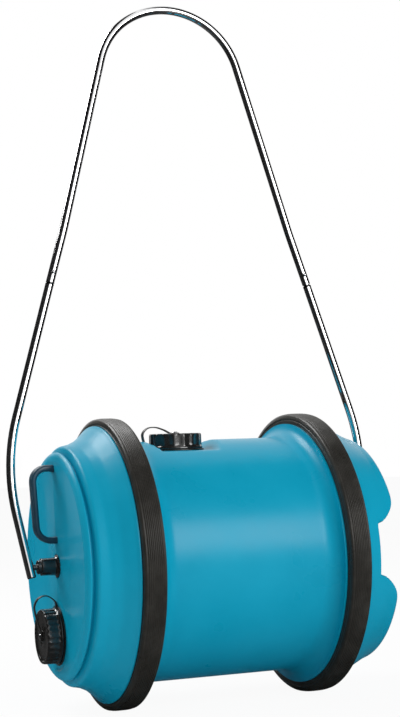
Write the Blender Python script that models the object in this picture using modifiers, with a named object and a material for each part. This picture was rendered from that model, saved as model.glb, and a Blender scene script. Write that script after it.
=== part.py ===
# Rolling water container: a blow-moulded barrel that lies on two rubber tyres and is pulled along by a
# tube handle pivoted on its ends. The barrel's axis runs along X, +Z is up and the tyres stand on z = 0.

import math

import bmesh
import bpy
from mathutils import Matrix, Vector

CLEARANCE = 0.0003

# Tyres
TYRE_RADIUS = 0.205
TYRE_DEPTH = 0.033
TYRE_WIDTH = 0.032
TYRE_SPACING = 0.298

# Barrel: drum, flanges beside the tyres, conical shoulders and the outlet end
DRUM_DROP = 0.0017
INNER_FLANGE_DROP = 0.0150
OUTER_FLANGE_DROP = 0.0106
OUTER_FLANGE_WIDTH = 0.0022
COVE_LENGTH = 0.026
WALL = 0.003
END_X = 0.2296
CONE_LENGTH = 0.0375
CONE_DROP = 0.0284
END_RING_DROP = 0.0060
END_RING_DEPTH = 0.0066
GROOVE_DEPTH = 0.0035
GROOVE_WIDTH = 0.0042
END_RIM_WIDTH = 0.0125
DISH_DEPTH = 0.0073
RIDGE_HEIGHT = 0.0040
RIDGE_REACH = 0.060
RIDGE_BOTTOM = -0.070
RIDGE_SHARES = (0.6, 1.0, 1.0, 0.8, 0.1)

# Base end, with the horizontal trough and the pedestal that carries the pivot plug in it
BASE_X = 0.2316
BASE_DROP = 0.0279
BASE_FILLET = 0.0114
BASE_BULGE = 0.0109
TROUGH_DEPTH = 0.0416
TROUGH_FLOOR_HALF = 0.036
TROUGH_SLOPE = 0.002
TROUGH_TILT = math.radians(3.7)
LIP_DEPTH = 0.030
LIP_HEIGHT = 0.032
PEDESTAL_HEIGHT = 0.0059
PEDESTAL_RADIUS = 0.0190
PEDESTAL_FOOT_RADIUS = 0.0225

# Filler saddle and necks
SADDLE_DEPTH = 0.0141
SADDLE_START_X = -0.0862
SADDLE_END_X = -0.0010
SADDLE_LEFT_SLOPE = 0.0087
SADDLE_RIGHT_SLOPE = 0.0150
FILLER_X = -0.0440
OUTLET_BELOW_RIM = 0.0510
OUTLET_PAD_RADIUS = 0.0465
OUTLET_PAD_X = 0.2265
NECK_RADIUS = 0.0287
NECK_BORE = 0.0245
NECK_HEIGHT = 0.0170

# Screw caps, with their seals, straps and studs
CAP_HEIGHT = 0.0245
CAP_GRIP_RADIUS = 0.0380
CAP_SKIRT_FLARE = 0.0014
CAP_SKIRT_HEIGHT = 0.0030
CAP_FACE_ROUNDING = 0.0016
CAP_RIM = 0.0040
CAP_RECESS_DEPTH = 0.0025
CAP_BOSS_RADIUS = 0.0085
CAP_BOSS_HEIGHT = 0.0015
CAP_THREAD_ROOM = 0.0013
FILLER_LOBES = 16
FILLER_LOBE_DEPTH = 0.0011
OUTLET_RIBS = 30
OUTLET_RIB_DEPTH = 0.0006
SEAL_THICKNESS = 0.002
STRAP_THICKNESS = 0.0018
STRAP_WIDTH = 0.009
COLLAR_RADIUS = 0.0415
EYE_RADIUS = 0.0065
STUD_RADIUS = 0.0020
STUD_HEAD_RADIUS = 0.0042
STUD_HEAD_HEIGHT = 0.0020
STUD_DEPTH = 0.0016

# Pivot plugs: flange, body, ring and nib, with a shank in a blind socket
PLUG_FLANGE_RADIUS = 0.0160
PLUG_FLANGE = 0.004
PLUG_BODY_RADIUS = 0.0120
PLUG_BODY = 0.0230
PLUG_RING_RADIUS = 0.0098
PLUG_RING = 0.0045
NIB_RADIUS = 0.0040
NIB_LENGTH = 0.0113
PLUG_SHANK_RADIUS = 0.0100
PLUG_SHANK = 0.023
PLUG_SEAT_MARGIN = 0.001
SOCKET_WALL = 0.0042

# Tube handle, in its own plane: corners are (distance out from the pivots, height above them)
TUBE_RADIUS = 0.00635
TUBE_BORE = 0.0052
LEG_BELOW_PIVOT = 0.013
LEG_KNEE = (0.0300, 0.1442)
LEG_KNEE_BEND = 0.277
JOINT = (-0.0483, 0.402)
JOINT_GAP = 0.002
BOW_BEND = (-0.0731, 0.4836)
BOW_BEND_RADIUS = 0.40
BOW_TOP = 0.8275
BOW_CROWN_RADIUS = 0.113
HANDLE_LEAN = math.radians(4.65)
SPIGOT_LENGTH = 0.045
SPIGOT_BORE = 0.0036
BUTTON_HEIGHT = 0.017
BUTTON_RADIUS = 0.0025
BUTTON_PROUD = 0.0020
BUTTON_TRAVEL = 0.0032
SPRING_THICKNESS = 0.0006
SPRING_WIDTH = 0.003
SPRING_LENGTH = 0.026
NIB_HOLE_CLEARANCE = 0.0001
END_PLUG_LENGTH = 0.008
END_PLUG_HEAD = 0.0016

# Carry handle on the outlet end
GRIP_BOTTOM = 0.0318
GRIP_BELOW_RIM = 0.0055
GRIP_STANDOFF = 0.0339
GRIP_TAPER = 0.060
GRIP_BAR = 0.0075
GRIP_LIMB = 0.0092
GRIP_THICKNESS = 0.018
GRIP_CORNER = 0.024
GRIP_INNER_CORNER = 0.015
GRIP_EDGE = 0.003
TANG_RADIUS = 0.0034
TANG_LENGTH = 0.009

STEPS = 36
SMALL_STEPS = 20
CAVITY_STEPS = 20

AXIS_Z = TYRE_RADIUS
SEAT_RADIUS = TYRE_RADIUS - TYRE_DEPTH
DRUM_RADIUS = SEAT_RADIUS - DRUM_DROP
INNER_FLANGE_RADIUS = TYRE_RADIUS - INNER_FLANGE_DROP
OUTER_FLANGE_RADIUS = TYRE_RADIUS - OUTER_FLANGE_DROP
BASE_RADIUS = OUTER_FLANGE_RADIUS - BASE_DROP
CONE_END_RADIUS = OUTER_FLANGE_RADIUS - CONE_DROP
END_RING_RADIUS = CONE_END_RADIUS - END_RING_DROP
GROOVE_RADIUS = END_RING_RADIUS - GROOVE_DEPTH
END_LAND_RADIUS = END_RING_RADIUS - END_RIM_WIDTH
TYRE_X = TYRE_SPACING / 2
SEAT_IN = TYRE_X - TYRE_WIDTH / 2 - CLEARANCE
SEAT_OUT = TYRE_X + TYRE_WIDTH / 2 + CLEARANCE
CENTRE_X = END_X - DISH_DEPTH
BASE_SEAT_X = BASE_X - TROUGH_DEPTH + PEDESTAL_HEIGHT
BARREL_X = (CENTRE_X - BASE_SEAT_X) / 2
SADDLE_Z = DRUM_RADIUS - SADDLE_DEPTH
OUTLET_Z = OUTLET_BELOW_RIM - END_LAND_RADIUS
CAP_SEAT = STRAP_THICKNESS + 2 * CLEARANCE
CAP_BORE_RADIUS = NECK_RADIUS + CAP_THREAD_ROOM
SEAL_SEAT = NECK_HEIGHT + CLEARANCE
CAP_CEILING = SEAL_SEAT + SEAL_THICKNESS + CLEARANCE
CAP_BOSS_TOP = CAP_HEIGHT - CAP_RECESS_DEPTH + CAP_BOSS_HEIGHT
EYE_SEAT = CAP_BOSS_TOP + CLEARANCE
STUD_SEAT = EYE_SEAT + STRAP_THICKNESS + CLEARANCE
PLUG_REACH = CLEARANCE + PLUG_FLANGE + PLUG_BODY + PLUG_RING + NIB_LENGTH
PIVOT_X = (CENTRE_X + BASE_SEAT_X) / 2 + PLUG_REACH
SPRING_CREST = BUTTON_TRAVEL - SPIGOT_BORE + SPRING_THICKNESS / 2 + CLEARANCE
GRIP_TOP = END_LAND_RADIUS - GRIP_BELOW_RIM
GRIP_REACH = END_X + GRIP_STANDOFF

BLUE = (0.010, 0.325, 0.490)
RUBBER = (0.020, 0.019, 0.017)
BLACK = (0.012, 0.012, 0.011)
NAVY = (0.012, 0.045, 0.075)
STEEL = (0.75, 0.75, 0.76)
SPRING_STEEL = (0.42, 0.42, 0.43)

FACING_X = Matrix.Rotation(math.radians(90), 4, "Y")
FACING_MINUS_X = Matrix.Rotation(math.radians(-90), 4, "Y")
HALF_TURN = Matrix.Rotation(math.radians(180), 4, "Z")
ONTO_XZ = Matrix.Rotation(math.radians(90), 4, "X")

# The barrel's middle, on its axis. It lies right of the handle's middle, because both pivot plugs are
# alike and the one in the base end sits deep in the trough.
BARREL = Matrix.Translation((BARREL_X, 0, AXIS_Z))


def clear_scene():
    for old in list(bpy.data.objects):
        bpy.data.objects.remove(old, do_unlink=True)


def new_collection(name):
    collection = bpy.data.collections.new(name)
    bpy.context.scene.collection.children.link(collection)
    return collection


def material(name, colour, roughness, metallic=0.0):
    made = bpy.data.materials.new(name)
    made.use_nodes = True
    shader = made.node_tree.nodes["Principled BSDF"]
    shader.inputs["Base Color"].default_value = (*colour, 1.0)
    shader.inputs["Roughness"].default_value = roughness
    shader.inputs["Metallic"].default_value = metallic
    return made


def new_object(name, data, collection):
    made = bpy.data.objects.new(name, data)
    collection.objects.link(made)
    return made


def cutter(name, data):
    made = new_object(name, data, CUTTERS)
    made.hide_render = True
    made.display_type = "WIRE"
    return made


def finish(piece, colour, roughness, metallic=0.0, smooth=True):
    piece.data.materials.append(material(piece.name + "_finish", colour, roughness, metallic))
    if smooth and piece.type == "MESH":
        piece.data.shade_smooth()
    return piece


def place(piece, location, turn=None):
    # Stands a piece at a point given from the barrel's middle.
    piece.matrix_world = BARREL @ Matrix.Translation(location) @ (turn or Matrix())
    return piece


def profile_mesh(name, points, closed):
    # A turned shape's outline: (radius, height) points down the outer side, joined by edges.
    count = len(points)
    edges = [(i, i + 1) for i in range(count - 1)]
    if closed:
        edges.append((count - 1, 0))
    mesh = bpy.data.meshes.new(name)
    mesh.from_pydata([(radius, 0, height) for radius, height in points], edges, [])
    return mesh


def turn_profile(piece, steps):
    screw = piece.modifiers.new("Turn", "SCREW")
    screw.angle = 2 * math.pi
    screw.steps = steps
    screw.render_steps = steps
    screw.use_merge_vertices = True
    screw.merge_threshold = 0.00001
    return piece


def turned(name, points, steps=SMALL_STEPS, closed=False, cut=False):
    mesh = profile_mesh(name, points, closed)
    piece = cutter(name, mesh) if cut else new_object(name, mesh, PARTS)
    return turn_profile(piece, steps)


def rod_mesh(name, radius, length, segments=SMALL_STEPS, top_radius=None):
    # A cylinder or cone that stands on the origin and runs up +Z; its facets straddle the axes.
    shape = bmesh.new()
    straddle = Matrix.Rotation(math.radians(75 / segments), 4, "Z")
    bmesh.ops.create_cone(shape, cap_ends=True, segments=segments, radius1=radius,
                          radius2=radius if top_radius is None else top_radius, depth=length,
                          matrix=Matrix.Translation((0, 0, length / 2)) @ straddle)
    mesh = bpy.data.meshes.new(name)
    shape.to_mesh(mesh)
    shape.free()
    return mesh


def rod_cutter(name, radius, length, location, turn=None, segments=SMALL_STEPS, top_radius=None):
    return place(cutter(name, rod_mesh(name, radius, length, segments, top_radius)), location, turn)


def boolean(piece, other, operation):
    step = piece.modifiers.new(other.name, "BOOLEAN")
    step.operation = operation
    step.object = other
    step.solver = "EXACT"


def cut(piece, *others):
    for other in others:
        boolean(piece, other, "DIFFERENCE")


def join(piece, *others):
    for other in others:
        boolean(piece, other, "UNION")


def to_mesh(curve_object, weld=0.00001):
    # A curve as a welded mesh under the same name, so that it can be cut and joined.
    name = curve_object.name
    bpy.context.view_layer.update()
    graph = bpy.context.evaluated_depsgraph_get()
    mesh = bpy.data.meshes.new_from_object(curve_object.evaluated_get(graph))
    shape = bmesh.new()
    shape.from_mesh(mesh)
    bmesh.ops.remove_doubles(shape, verts=shape.verts, dist=weld)
    bmesh.ops.recalc_face_normals(shape, faces=shape.faces)
    shape.to_mesh(mesh)
    shape.free()
    collection = curve_object.users_collection[0]
    matrix = curve_object.matrix_world.copy()
    bpy.data.objects.remove(curve_object, do_unlink=True)
    made = new_object(name, mesh, collection)
    made.matrix_world = matrix
    return made


def tube(name, points, radius, resolution=3, collection=None):
    curve = bpy.data.curves.new(name, "CURVE")
    curve.dimensions = "3D"
    curve.bevel_depth = radius
    curve.bevel_resolution = resolution
    curve.use_fill_caps = True
    line = curve.splines.new("POLY")
    line.points.add(len(points) - 1)
    for spot, point in zip(line.points, points):
        spot.co = (*point, 1)
    return to_mesh(new_object(name, curve, collection or PARTS))


def plate(name, outlines, thickness, edge=0.0, collection=None):
    # A flat outline in XY, with holes, as thick as asked and centred on the plane; edge rounds its rims.
    curve = bpy.data.curves.new(name, "CURVE")
    curve.dimensions = "2D"
    curve.fill_mode = "BOTH"
    curve.extrude = thickness / 2 - edge
    curve.bevel_depth = edge
    curve.bevel_resolution = 1
    curve.offset = -edge
    for outline in outlines:
        line = curve.splines.new("POLY")
        line.points.add(len(outline) - 1)
        line.use_cyclic_u = True
        for spot, (x, y) in zip(line.points, outline):
            spot.co = (x, y, 0, 1)
    return to_mesh(new_object(name, curve, collection or PARTS))


def arc(centre, radius, start, end, count):
    # Points along an arc in a plane, with its angles in degrees.
    steps = [math.radians(start + (end - start) * i / count) for i in range(count + 1)]
    return [(centre[0] + radius * math.cos(a), centre[1] + radius * math.sin(a)) for a in steps]


def rounded_box(left, right, bottom, top, corner, count=5):
    return (arc((right - corner, bottom + corner), corner, -90, 0, count)
            + arc((right - corner, top - corner), corner, 0, 90, count)
            + arc((left + corner, top - corner), corner, 90, 180, count)
            + arc((left + corner, bottom + corner), corner, 180, 270, count))


def bent_line(start, bends, end, step=math.radians(9)):
    # Straight runs from start to end, joined at each (corner, radius) by an arc.
    points = [Vector(start)]
    for i, (corner, radius) in enumerate(bends):
        corner = Vector(corner)
        after = Vector(bends[i + 1][0] if i + 1 < len(bends) else end)
        before = Vector(bends[i - 1][0] if i else start)
        come, leave = (corner - before).normalized(), (after - corner).normalized()
        turn = come.angle(leave)
        reach = radius * math.tan(turn / 2)
        first = corner - come * reach
        inward = (leave - come).normalized()
        centre = corner + inward * (radius / math.cos(turn / 2))
        count = max(2, math.ceil(turn / step))
        sign = math.copysign(1, come.cross(leave))
        for k in range(count + 1):
            points.append(centre + Matrix.Rotation(sign * turn * k / count, 2) @ (first - centre))
    points.append(Vector(end))
    return points


def dish(radius):
    # The end's gentle dish: its depth in X at a radius from the axis.
    return CENTRE_X + DISH_DEPTH * min(1, radius / END_LAND_RADIUS) ** 2


def cove():
    # From the drum up to the inner flange, a quarter ellipse hollow towards the drum, as (radius, x).
    rise = INNER_FLANGE_RADIUS - DRUM_RADIUS
    steps = [math.radians(90 * i / 4) for i in range(5)]
    start = SEAT_IN - COVE_LENGTH
    length = COVE_LENGTH - 0.003
    return [(DRUM_RADIUS + rise * (1 - math.cos(a)), start + length * math.sin(a)) for a in steps]


def dish_samples(grow=0.0):
    # Points down the dished end from its centre to its rim, as (radius, x).
    return [(radius, dish(radius) + grow) for radius in (END_LAND_RADIUS * i / 3 for i in range(4))]


def base_shoulder(start, end):
    # The base end's bulging shoulder between its face and the outer flange, as (radius, x).
    bulge = BASE_RADIUS + BASE_BULGE
    line = []
    for t in (0.25, 0.50, 0.75):
        radius = (1 - t) ** 2 * start[0] + 2 * t * (1 - t) * bulge + t ** 2 * end[0]
        line.append((radius, start[1] + t * (end[1] - start[1])))
    return line


def half_barrel(base):
    # One half of the outline from the end's centre to the drum, as (radius, |x|).
    cone_x = SEAT_OUT + OUTER_FLANGE_WIDTH
    cone_end = cone_x + CONE_LENGTH
    foot = (OUTER_FLANGE_RADIUS - 0.0035, cone_x + 0.003)
    if base:
        face = [(0, BASE_X), (BASE_RADIUS - BASE_FILLET, BASE_X)]
        edge = [(BASE_RADIUS - BASE_FILLET * (1 - math.sin(a)), BASE_X - BASE_FILLET * (1 - math.cos(a)))
                for a in (math.radians(22.5 * i) for i in range(1, 5))]
        cone = base_shoulder((BASE_RADIUS, BASE_X - BASE_FILLET), foot)
    else:
        face = dish_samples()
        ring_x = END_X - END_RING_DEPTH
        edge = [((END_LAND_RADIUS + END_RING_RADIUS) / 2, END_X - 0.0016), (END_RING_RADIUS, ring_x + 0.0018),
                (END_RING_RADIUS, ring_x), (GROOVE_RADIUS, ring_x - GROOVE_WIDTH * 0.35),
                (GROOVE_RADIUS, ring_x - GROOVE_WIDTH * 0.75), (CONE_END_RADIUS, ring_x - GROOVE_WIDTH * 1.4)]
        cone = [(CONE_END_RADIUS + 0.0042, cone_end - 0.004),
                (CONE_END_RADIUS + 0.0110, cone_x + CONE_LENGTH / 2)]
    flange = [foot, (OUTER_FLANGE_RADIUS, cone_x),
              (OUTER_FLANGE_RADIUS, SEAT_OUT + 0.0006), (OUTER_FLANGE_RADIUS - 0.0006, SEAT_OUT),
              (SEAT_RADIUS, SEAT_OUT), (SEAT_RADIUS, SEAT_IN),
              (INNER_FLANGE_RADIUS - 0.0006, SEAT_IN), (INNER_FLANGE_RADIUS, SEAT_IN - 0.0006)]
    return face + edge + cone + flange + list(reversed(cove()))


def barrel_profile():
    right = half_barrel(base=True)
    left = half_barrel(base=False)
    return right + [(radius, -x) for radius, x in reversed(left)]


def cavity_profile():
    # The hollow inside, a wall's thickness in, with bays under the conical shoulders.
    body = DRUM_RADIUS - WALL
    bay = OUTER_FLANGE_RADIUS - 4 * WALL
    cone_x = SEAT_OUT + OUTER_FLANGE_WIDTH
    shoulder = [(SEAT_RADIUS - WALL, SEAT_OUT), (bay, cone_x + WALL),
                (CONE_END_RADIUS + 0.0065, cone_x + CONE_LENGTH / 2)]
    end = END_X - END_RING_DEPTH - GROOVE_WIDTH
    right = [(0, BASE_X - WALL), (BASE_RADIUS - BASE_FILLET - WALL, BASE_X - WALL),
             (BASE_RADIUS - 2 * WALL, BASE_X - BASE_FILLET)] + list(reversed(shoulder))
    left = [(0, CENTRE_X - WALL), (END_LAND_RADIUS - 0.006, END_X - WALL - 0.0015),
            (GROOVE_RADIUS - WALL, end), (GROOVE_RADIUS - WALL, end - 0.004)] + list(reversed(shoulder))
    middle = [(body, SEAT_IN - COVE_LENGTH), (body, COVE_LENGTH - SEAT_IN)]
    return right + middle + [(radius, -x) for radius, x in reversed(left)]


def guide(piece):
    piece.hide_render = True
    piece.display_type = "WIRE"
    return piece


def trough_cutter(name, margin):
    # The base end's trough, cut through along Y: a flat floor, steep walls and round lips. The blow
    # mould's halves leave it turned a little about the barrel's axis, with its front end higher.
    floor = BASE_X - TROUGH_DEPTH - margin
    wall_z = TROUGH_FLOOR_HALF + TROUGH_SLOPE + margin
    lip_x = BASE_X - LIP_DEPTH
    lip = [(lip_x + LIP_DEPTH * math.sin(a), wall_z + LIP_HEIGHT * (1 - math.cos(a)))
           for a in (math.radians(15 * i) for i in range(6))]
    foot = [(floor, TROUGH_FLOOR_HALF + margin - 0.004), (floor + 0.0015, TROUGH_FLOOR_HALF + margin - 0.001),
            (floor + 0.005, TROUGH_FLOOR_HALF + margin + 0.0010)]
    upper = foot + lip + [(BASE_X + 0.010, lip[-1][1] + 0.012)]
    outline = upper + [(x, -z) for x, z in reversed(upper)]
    piece = guide(plate(name, [outline], 2.4 * BASE_RADIUS, collection=CUTTERS))
    return place(piece, (0, 0, 0), Matrix.Rotation(-TROUGH_TILT, 4, "X") @ ONTO_XZ)


def saddle_cutter(name, margin):
    # The flat that is pressed into the drum for the filler, with a slope up to the drum at each side.
    floor = SADDLE_Z - margin
    rise = 0.03 + SADDLE_DEPTH + margin
    left = SADDLE_LEFT_SLOPE / SADDLE_DEPTH
    right = SADDLE_RIGHT_SLOPE / SADDLE_DEPTH
    outline = [(SADDLE_START_X, floor), (SADDLE_END_X, floor), (SADDLE_END_X + right * rise, floor + rise),
               (SADDLE_START_X - left * rise, floor + rise)]
    piece = guide(plate(name, [outline], 2 * DRUM_RADIUS, collection=CUTTERS))
    return place(piece, (0, 0, 0), ONTO_XZ)


def end_ridge(name, grow=0.0):
    # The low crest that runs up the middle of the dished end, from the outlet's pad to the grip's top.
    rings = []
    for i, share in enumerate(RIDGE_SHARES):
        z = RIDGE_BOTTOM + (GRIP_TOP - RIDGE_BOTTOM) * i / (len(RIDGE_SHARES) - 1)
        reach = min(RIDGE_REACH, math.sqrt(END_LAND_RADIUS ** 2 - z ** 2))
        crest = dish(abs(z)) + RIDGE_HEIGHT * share + grow
        edge = dish(math.hypot(reach, z)) - WALL / 4 + grow
        back = CENTRE_X - WALL
        rings.append([(-back, -reach, z), (-back, reach, z), (-edge, reach, z), (-crest, 0, z),
                      (-edge, -reach, z)])
    return place(guide(loft(name, rings, CUTTERS)), (0, 0, 0))


def neck_frames():
    # Where each screw neck stands, and which way it points.
    filler = BARREL @ Matrix.Translation((FILLER_X, 0, SADDLE_Z))
    outlet = BARREL @ Matrix.Translation((-OUTLET_PAD_X, 0, OUTLET_Z)) @ FACING_MINUS_X @ HALF_TURN
    return {"filler": filler, "outlet": outlet}


def seats():
    # The two flats that carry the pivot plugs: side, distance from the middle, and which way they face.
    return ((-1, CENTRE_X, FACING_MINUS_X), (1, BASE_SEAT_X, FACING_X))


def make_barrel():
    # The barrel: turned outside and inside, with the trough, the saddle, the necks and their bores.
    barrel = turned("barrel", barrel_profile(), STEPS)
    place(barrel, (0, 0, 0), FACING_X)
    cavity = turned("cavity", cavity_profile(), CAVITY_STEPS, cut=True)
    place(cavity, (0, 0, 0), FACING_X)
    cut(cavity, trough_cutter("trough_inside", WALL), saddle_cutter("saddle_inside", WALL))
    pad = rod_cutter("outlet_pad", OUTLET_PAD_RADIUS, 0.02, (-OUTLET_PAD_X, 0, OUTLET_Z), FACING_MINUS_X, 32)
    back = rod_cutter("outlet_pad_wall", OUTLET_PAD_RADIUS + WALL, 0.02, (-OUTLET_PAD_X + WALL, 0, OUTLET_Z),
                      FACING_MINUS_X)
    cut(cavity, back)
    raised = rod_cutter("outlet_pad_raised", OUTLET_PAD_RADIUS, 2 * WALL,
                        (-OUTLET_PAD_X + 2 * WALL, 0, OUTLET_Z), FACING_MINUS_X, 32)
    join(barrel, end_ridge("end_ridge"), raised)
    plug_seat = rod_cutter("plug_seat", PLUG_FLANGE_RADIUS + PLUG_SEAT_MARGIN, 0.02, (-CENTRE_X, 0, 0),
                           FACING_MINUS_X)
    cut(barrel, trough_cutter("trough", 0), saddle_cutter("saddle", 0), pad, plug_seat)
    pedestal_x = BASE_SEAT_X - PEDESTAL_HEIGHT - WALL / 2
    pedestal = rod_cutter("pedestal", PEDESTAL_FOOT_RADIUS, BASE_SEAT_X - pedestal_x, (pedestal_x, 0, 0),
                          FACING_X, SMALL_STEPS, PEDESTAL_RADIUS)
    join(barrel, pedestal)
    socket_depth = PLUG_SHANK + 2 * CLEARANCE
    boss_length = socket_depth + SOCKET_WALL
    for side, seat, turn in seats():
        cut(cavity, rod_cutter(f"socket_boss_{side}", PLUG_SHANK_RADIUS + SOCKET_WALL, boss_length,
                               (side * (seat - boss_length), 0, 0), turn))
    for height in grip_limb_heights():
        boss = rod_cutter(f"tang_boss_{height:.3f}", TANG_RADIUS + SOCKET_WALL, TANG_LENGTH + 3 * WALL,
                          (-dish(height) + TANG_LENGTH + 2 * WALL, 0, height), FACING_MINUS_X, 20)
        cut(cavity, boss)
    for name, frame in neck_frames().items():
        neck = rod_cutter(f"{name}_neck", NECK_RADIUS, NECK_HEIGHT + WALL / 2, (0, 0, 0))
        neck.matrix_world = frame @ Matrix.Translation((0, 0, -WALL / 2))
        join(barrel, neck)
    cut(barrel, cavity)
    for name, frame in neck_frames().items():
        bore = rod_cutter(f"{name}_bore", NECK_BORE, NECK_HEIGHT + 0.02, (0, 0, 0))
        bore.matrix_world = frame @ Matrix.Translation((0, 0, -0.01))
        cut(barrel, bore)
    for side, seat, turn in seats():
        cut(barrel, rod_cutter(f"socket_{side}", PLUG_SHANK_RADIUS + CLEARANCE, socket_depth + 0.02,
                               (side * (seat - socket_depth), 0, 0), turn))
    for height in grip_limb_heights():
        depth = TANG_LENGTH + CLEARANCE
        cut(barrel, rod_cutter(f"tang_hole_{height:.3f}", TANG_RADIUS + CLEARANCE, depth + 0.01,
                               (-dish(height) + depth, 0, height), FACING_MINUS_X, 20))
    return finish(barrel, BLUE, 0.32)


def make_tyre(name, side):
    # A rubber rim with rounded shoulders and a slightly crowned tread.
    half = TYRE_WIDTH / 2
    outer = [(SEAT_RADIUS + CLEARANCE, half), (TYRE_RADIUS - 0.0068, half),
             (TYRE_RADIUS - 0.0034, half - 0.0008), (TYRE_RADIUS - 0.0010, half - 0.0030),
             (TYRE_RADIUS, half - 0.0070)]
    profile = outer + [(radius, -x) for radius, x in reversed(outer)]
    tyre = turned(name, profile, STEPS, closed=True)
    place(tyre, (side * TYRE_X, 0, 0), FACING_X)
    return finish(tyre, RUBBER, 0.55)


def lobed_ring(radius, height, lobes, depth, per_lobe):
    count = lobes * per_lobe
    ring = []
    for i in range(count):
        angle = 2 * math.pi * i / count
        here = radius - depth * (0.5 - 0.5 * math.cos(lobes * angle))
        ring.append((here * math.cos(angle), here * math.sin(angle), height))
    return ring


def loft(name, rings, collection=None):
    # A solid through unlike closed rings from bottom to top, all with the same number of points.
    count = len(rings[0])
    points = [point for ring in rings for point in ring]
    faces = [tuple(reversed(range(count)))]
    for level in range(len(rings) - 1):
        low, high = level * count, (level + 1) * count
        faces += [(low + i, low + (i + 1) % count, high + (i + 1) % count, high + i) for i in range(count)]
    faces.append(tuple(range(len(points) - count, len(points))))
    mesh = bpy.data.meshes.new(name)
    mesh.from_pydata(points, [], faces)
    return new_object(name, mesh, collection or PARTS)


def make_cap(name, frame, lobes, depth, per_lobe):
    # A screw cap: a round flared skirt that blends into a lobed grip, hollow below, recessed on top.
    skirt_top = CAP_SEAT + CAP_SKIRT_HEIGHT
    grip_foot = CAP_GRIP_RADIUS + CAP_SKIRT_FLARE * 0.3
    rings = [lobed_ring(CAP_GRIP_RADIUS + CAP_SKIRT_FLARE, CAP_SEAT, lobes, 0, per_lobe),
             lobed_ring(CAP_GRIP_RADIUS + CAP_SKIRT_FLARE * 0.7, skirt_top - 0.0010, lobes, 0, per_lobe),
             lobed_ring(grip_foot, skirt_top, lobes, depth, per_lobe),
             lobed_ring(CAP_GRIP_RADIUS, CAP_HEIGHT - CAP_FACE_ROUNDING, lobes, depth, per_lobe),
             lobed_ring(CAP_GRIP_RADIUS - CAP_FACE_ROUNDING, CAP_HEIGHT, lobes, 0, per_lobe)]
    cap = loft(name, rings)
    cap.matrix_world = frame
    hollow = turned(f"{name}_hollow", [(0, CAP_CEILING), (CAP_BORE_RADIUS, CAP_CEILING),
                                       (CAP_BORE_RADIUS, 0), (0, 0)], cut=True)
    floor = CAP_HEIGHT - CAP_RECESS_DEPTH
    rim = CAP_GRIP_RADIUS - CAP_RIM
    recess = turned(f"{name}_recess", [(0, CAP_HEIGHT + 0.005), (rim, CAP_HEIGHT + 0.005), (rim, CAP_HEIGHT),
                                       (rim - 0.0008, floor),
                                       (CAP_BOSS_RADIUS, floor), (CAP_BOSS_RADIUS, CAP_BOSS_TOP),
                                       (0, CAP_BOSS_TOP)], cut=True)
    hole = turned(f"{name}_hole", [(0, CAP_HEIGHT), (STUD_RADIUS + CLEARANCE, CAP_HEIGHT),
                                   (STUD_RADIUS + CLEARANCE, CAP_BOSS_TOP - STUD_DEPTH - CLEARANCE),
                                   (0, CAP_BOSS_TOP - STUD_DEPTH - CLEARANCE)], 16, cut=True)
    for tool in (hollow, recess, hole):
        tool.matrix_world = frame
    cut(cap, hollow, recess, hole)
    return finish(cap, BLACK, 0.22)


def make_seal(name, frame):
    # The flat gasket between the neck's rim and the cap's ceiling.
    outer, inner = NECK_RADIUS - CLEARANCE, NECK_BORE - 0.001
    top = SEAL_SEAT + SEAL_THICKNESS
    seal = turned(name, [(outer, top), (outer, SEAL_SEAT), (inner, SEAL_SEAT), (inner, top)], closed=True)
    seal.matrix_world = frame
    return finish(seal, RUBBER, 0.7)


def make_stud(name, frame):
    # The stud that pins the strap's eye to the middle of the cap.
    top = STUD_SEAT + STUD_HEAD_HEIGHT
    foot = CAP_BOSS_TOP - STUD_DEPTH
    stud = turned(name, [(0, top), (STUD_HEAD_RADIUS * 0.6, top), (STUD_HEAD_RADIUS, top - 0.0008),
                         (STUD_HEAD_RADIUS, STUD_SEAT), (STUD_RADIUS, STUD_SEAT), (STUD_RADIUS, foot),
                         (0, foot)], 16)
    stud.matrix_world = frame
    return finish(stud, SPRING_STEEL, 0.25, 1.0)


def ribbon(name, path, width, thickness):
    # A flat band of constant width (along local Y) that follows a path in the local XZ plane.
    sides = []
    for i, point in enumerate(path):
        before, after = path[max(0, i - 1)], path[min(len(path) - 1, i + 1)]
        along = (Vector(after) - Vector(before)).normalized()
        across = Vector((-along.y, along.x)) * thickness / 2
        sides.append((Vector(point) + across, Vector(point) - across))
    outline = [tuple(a) for a, b in sides] + [tuple(b) for a, b in reversed(sides)]
    band = plate(name, [outline], width, collection=CUTTERS)
    return guide(band)


def smooth_path(knots, steps=3):
    # A smooth line through the knots (Catmull-Rom), as plain points.
    spots = [Vector(k) for k in knots]
    spots = [spots[0] * 2 - spots[1]] + spots + [spots[-1] * 2 - spots[-2]]
    path = []
    for i in range(1, len(spots) - 2):
        a, b, c, d = spots[i - 1:i + 3]
        for k in range(steps):
            t = k / steps
            path.append((b * 2 + (c - a) * t + (a * 2 - b * 5 + c * 4 - d) * t ** 2
                         + (b * 3 - a - c * 3 + d) * t ** 3) / 2)
    path.append(spots[-2])
    return [tuple(point) for point in path]


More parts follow.
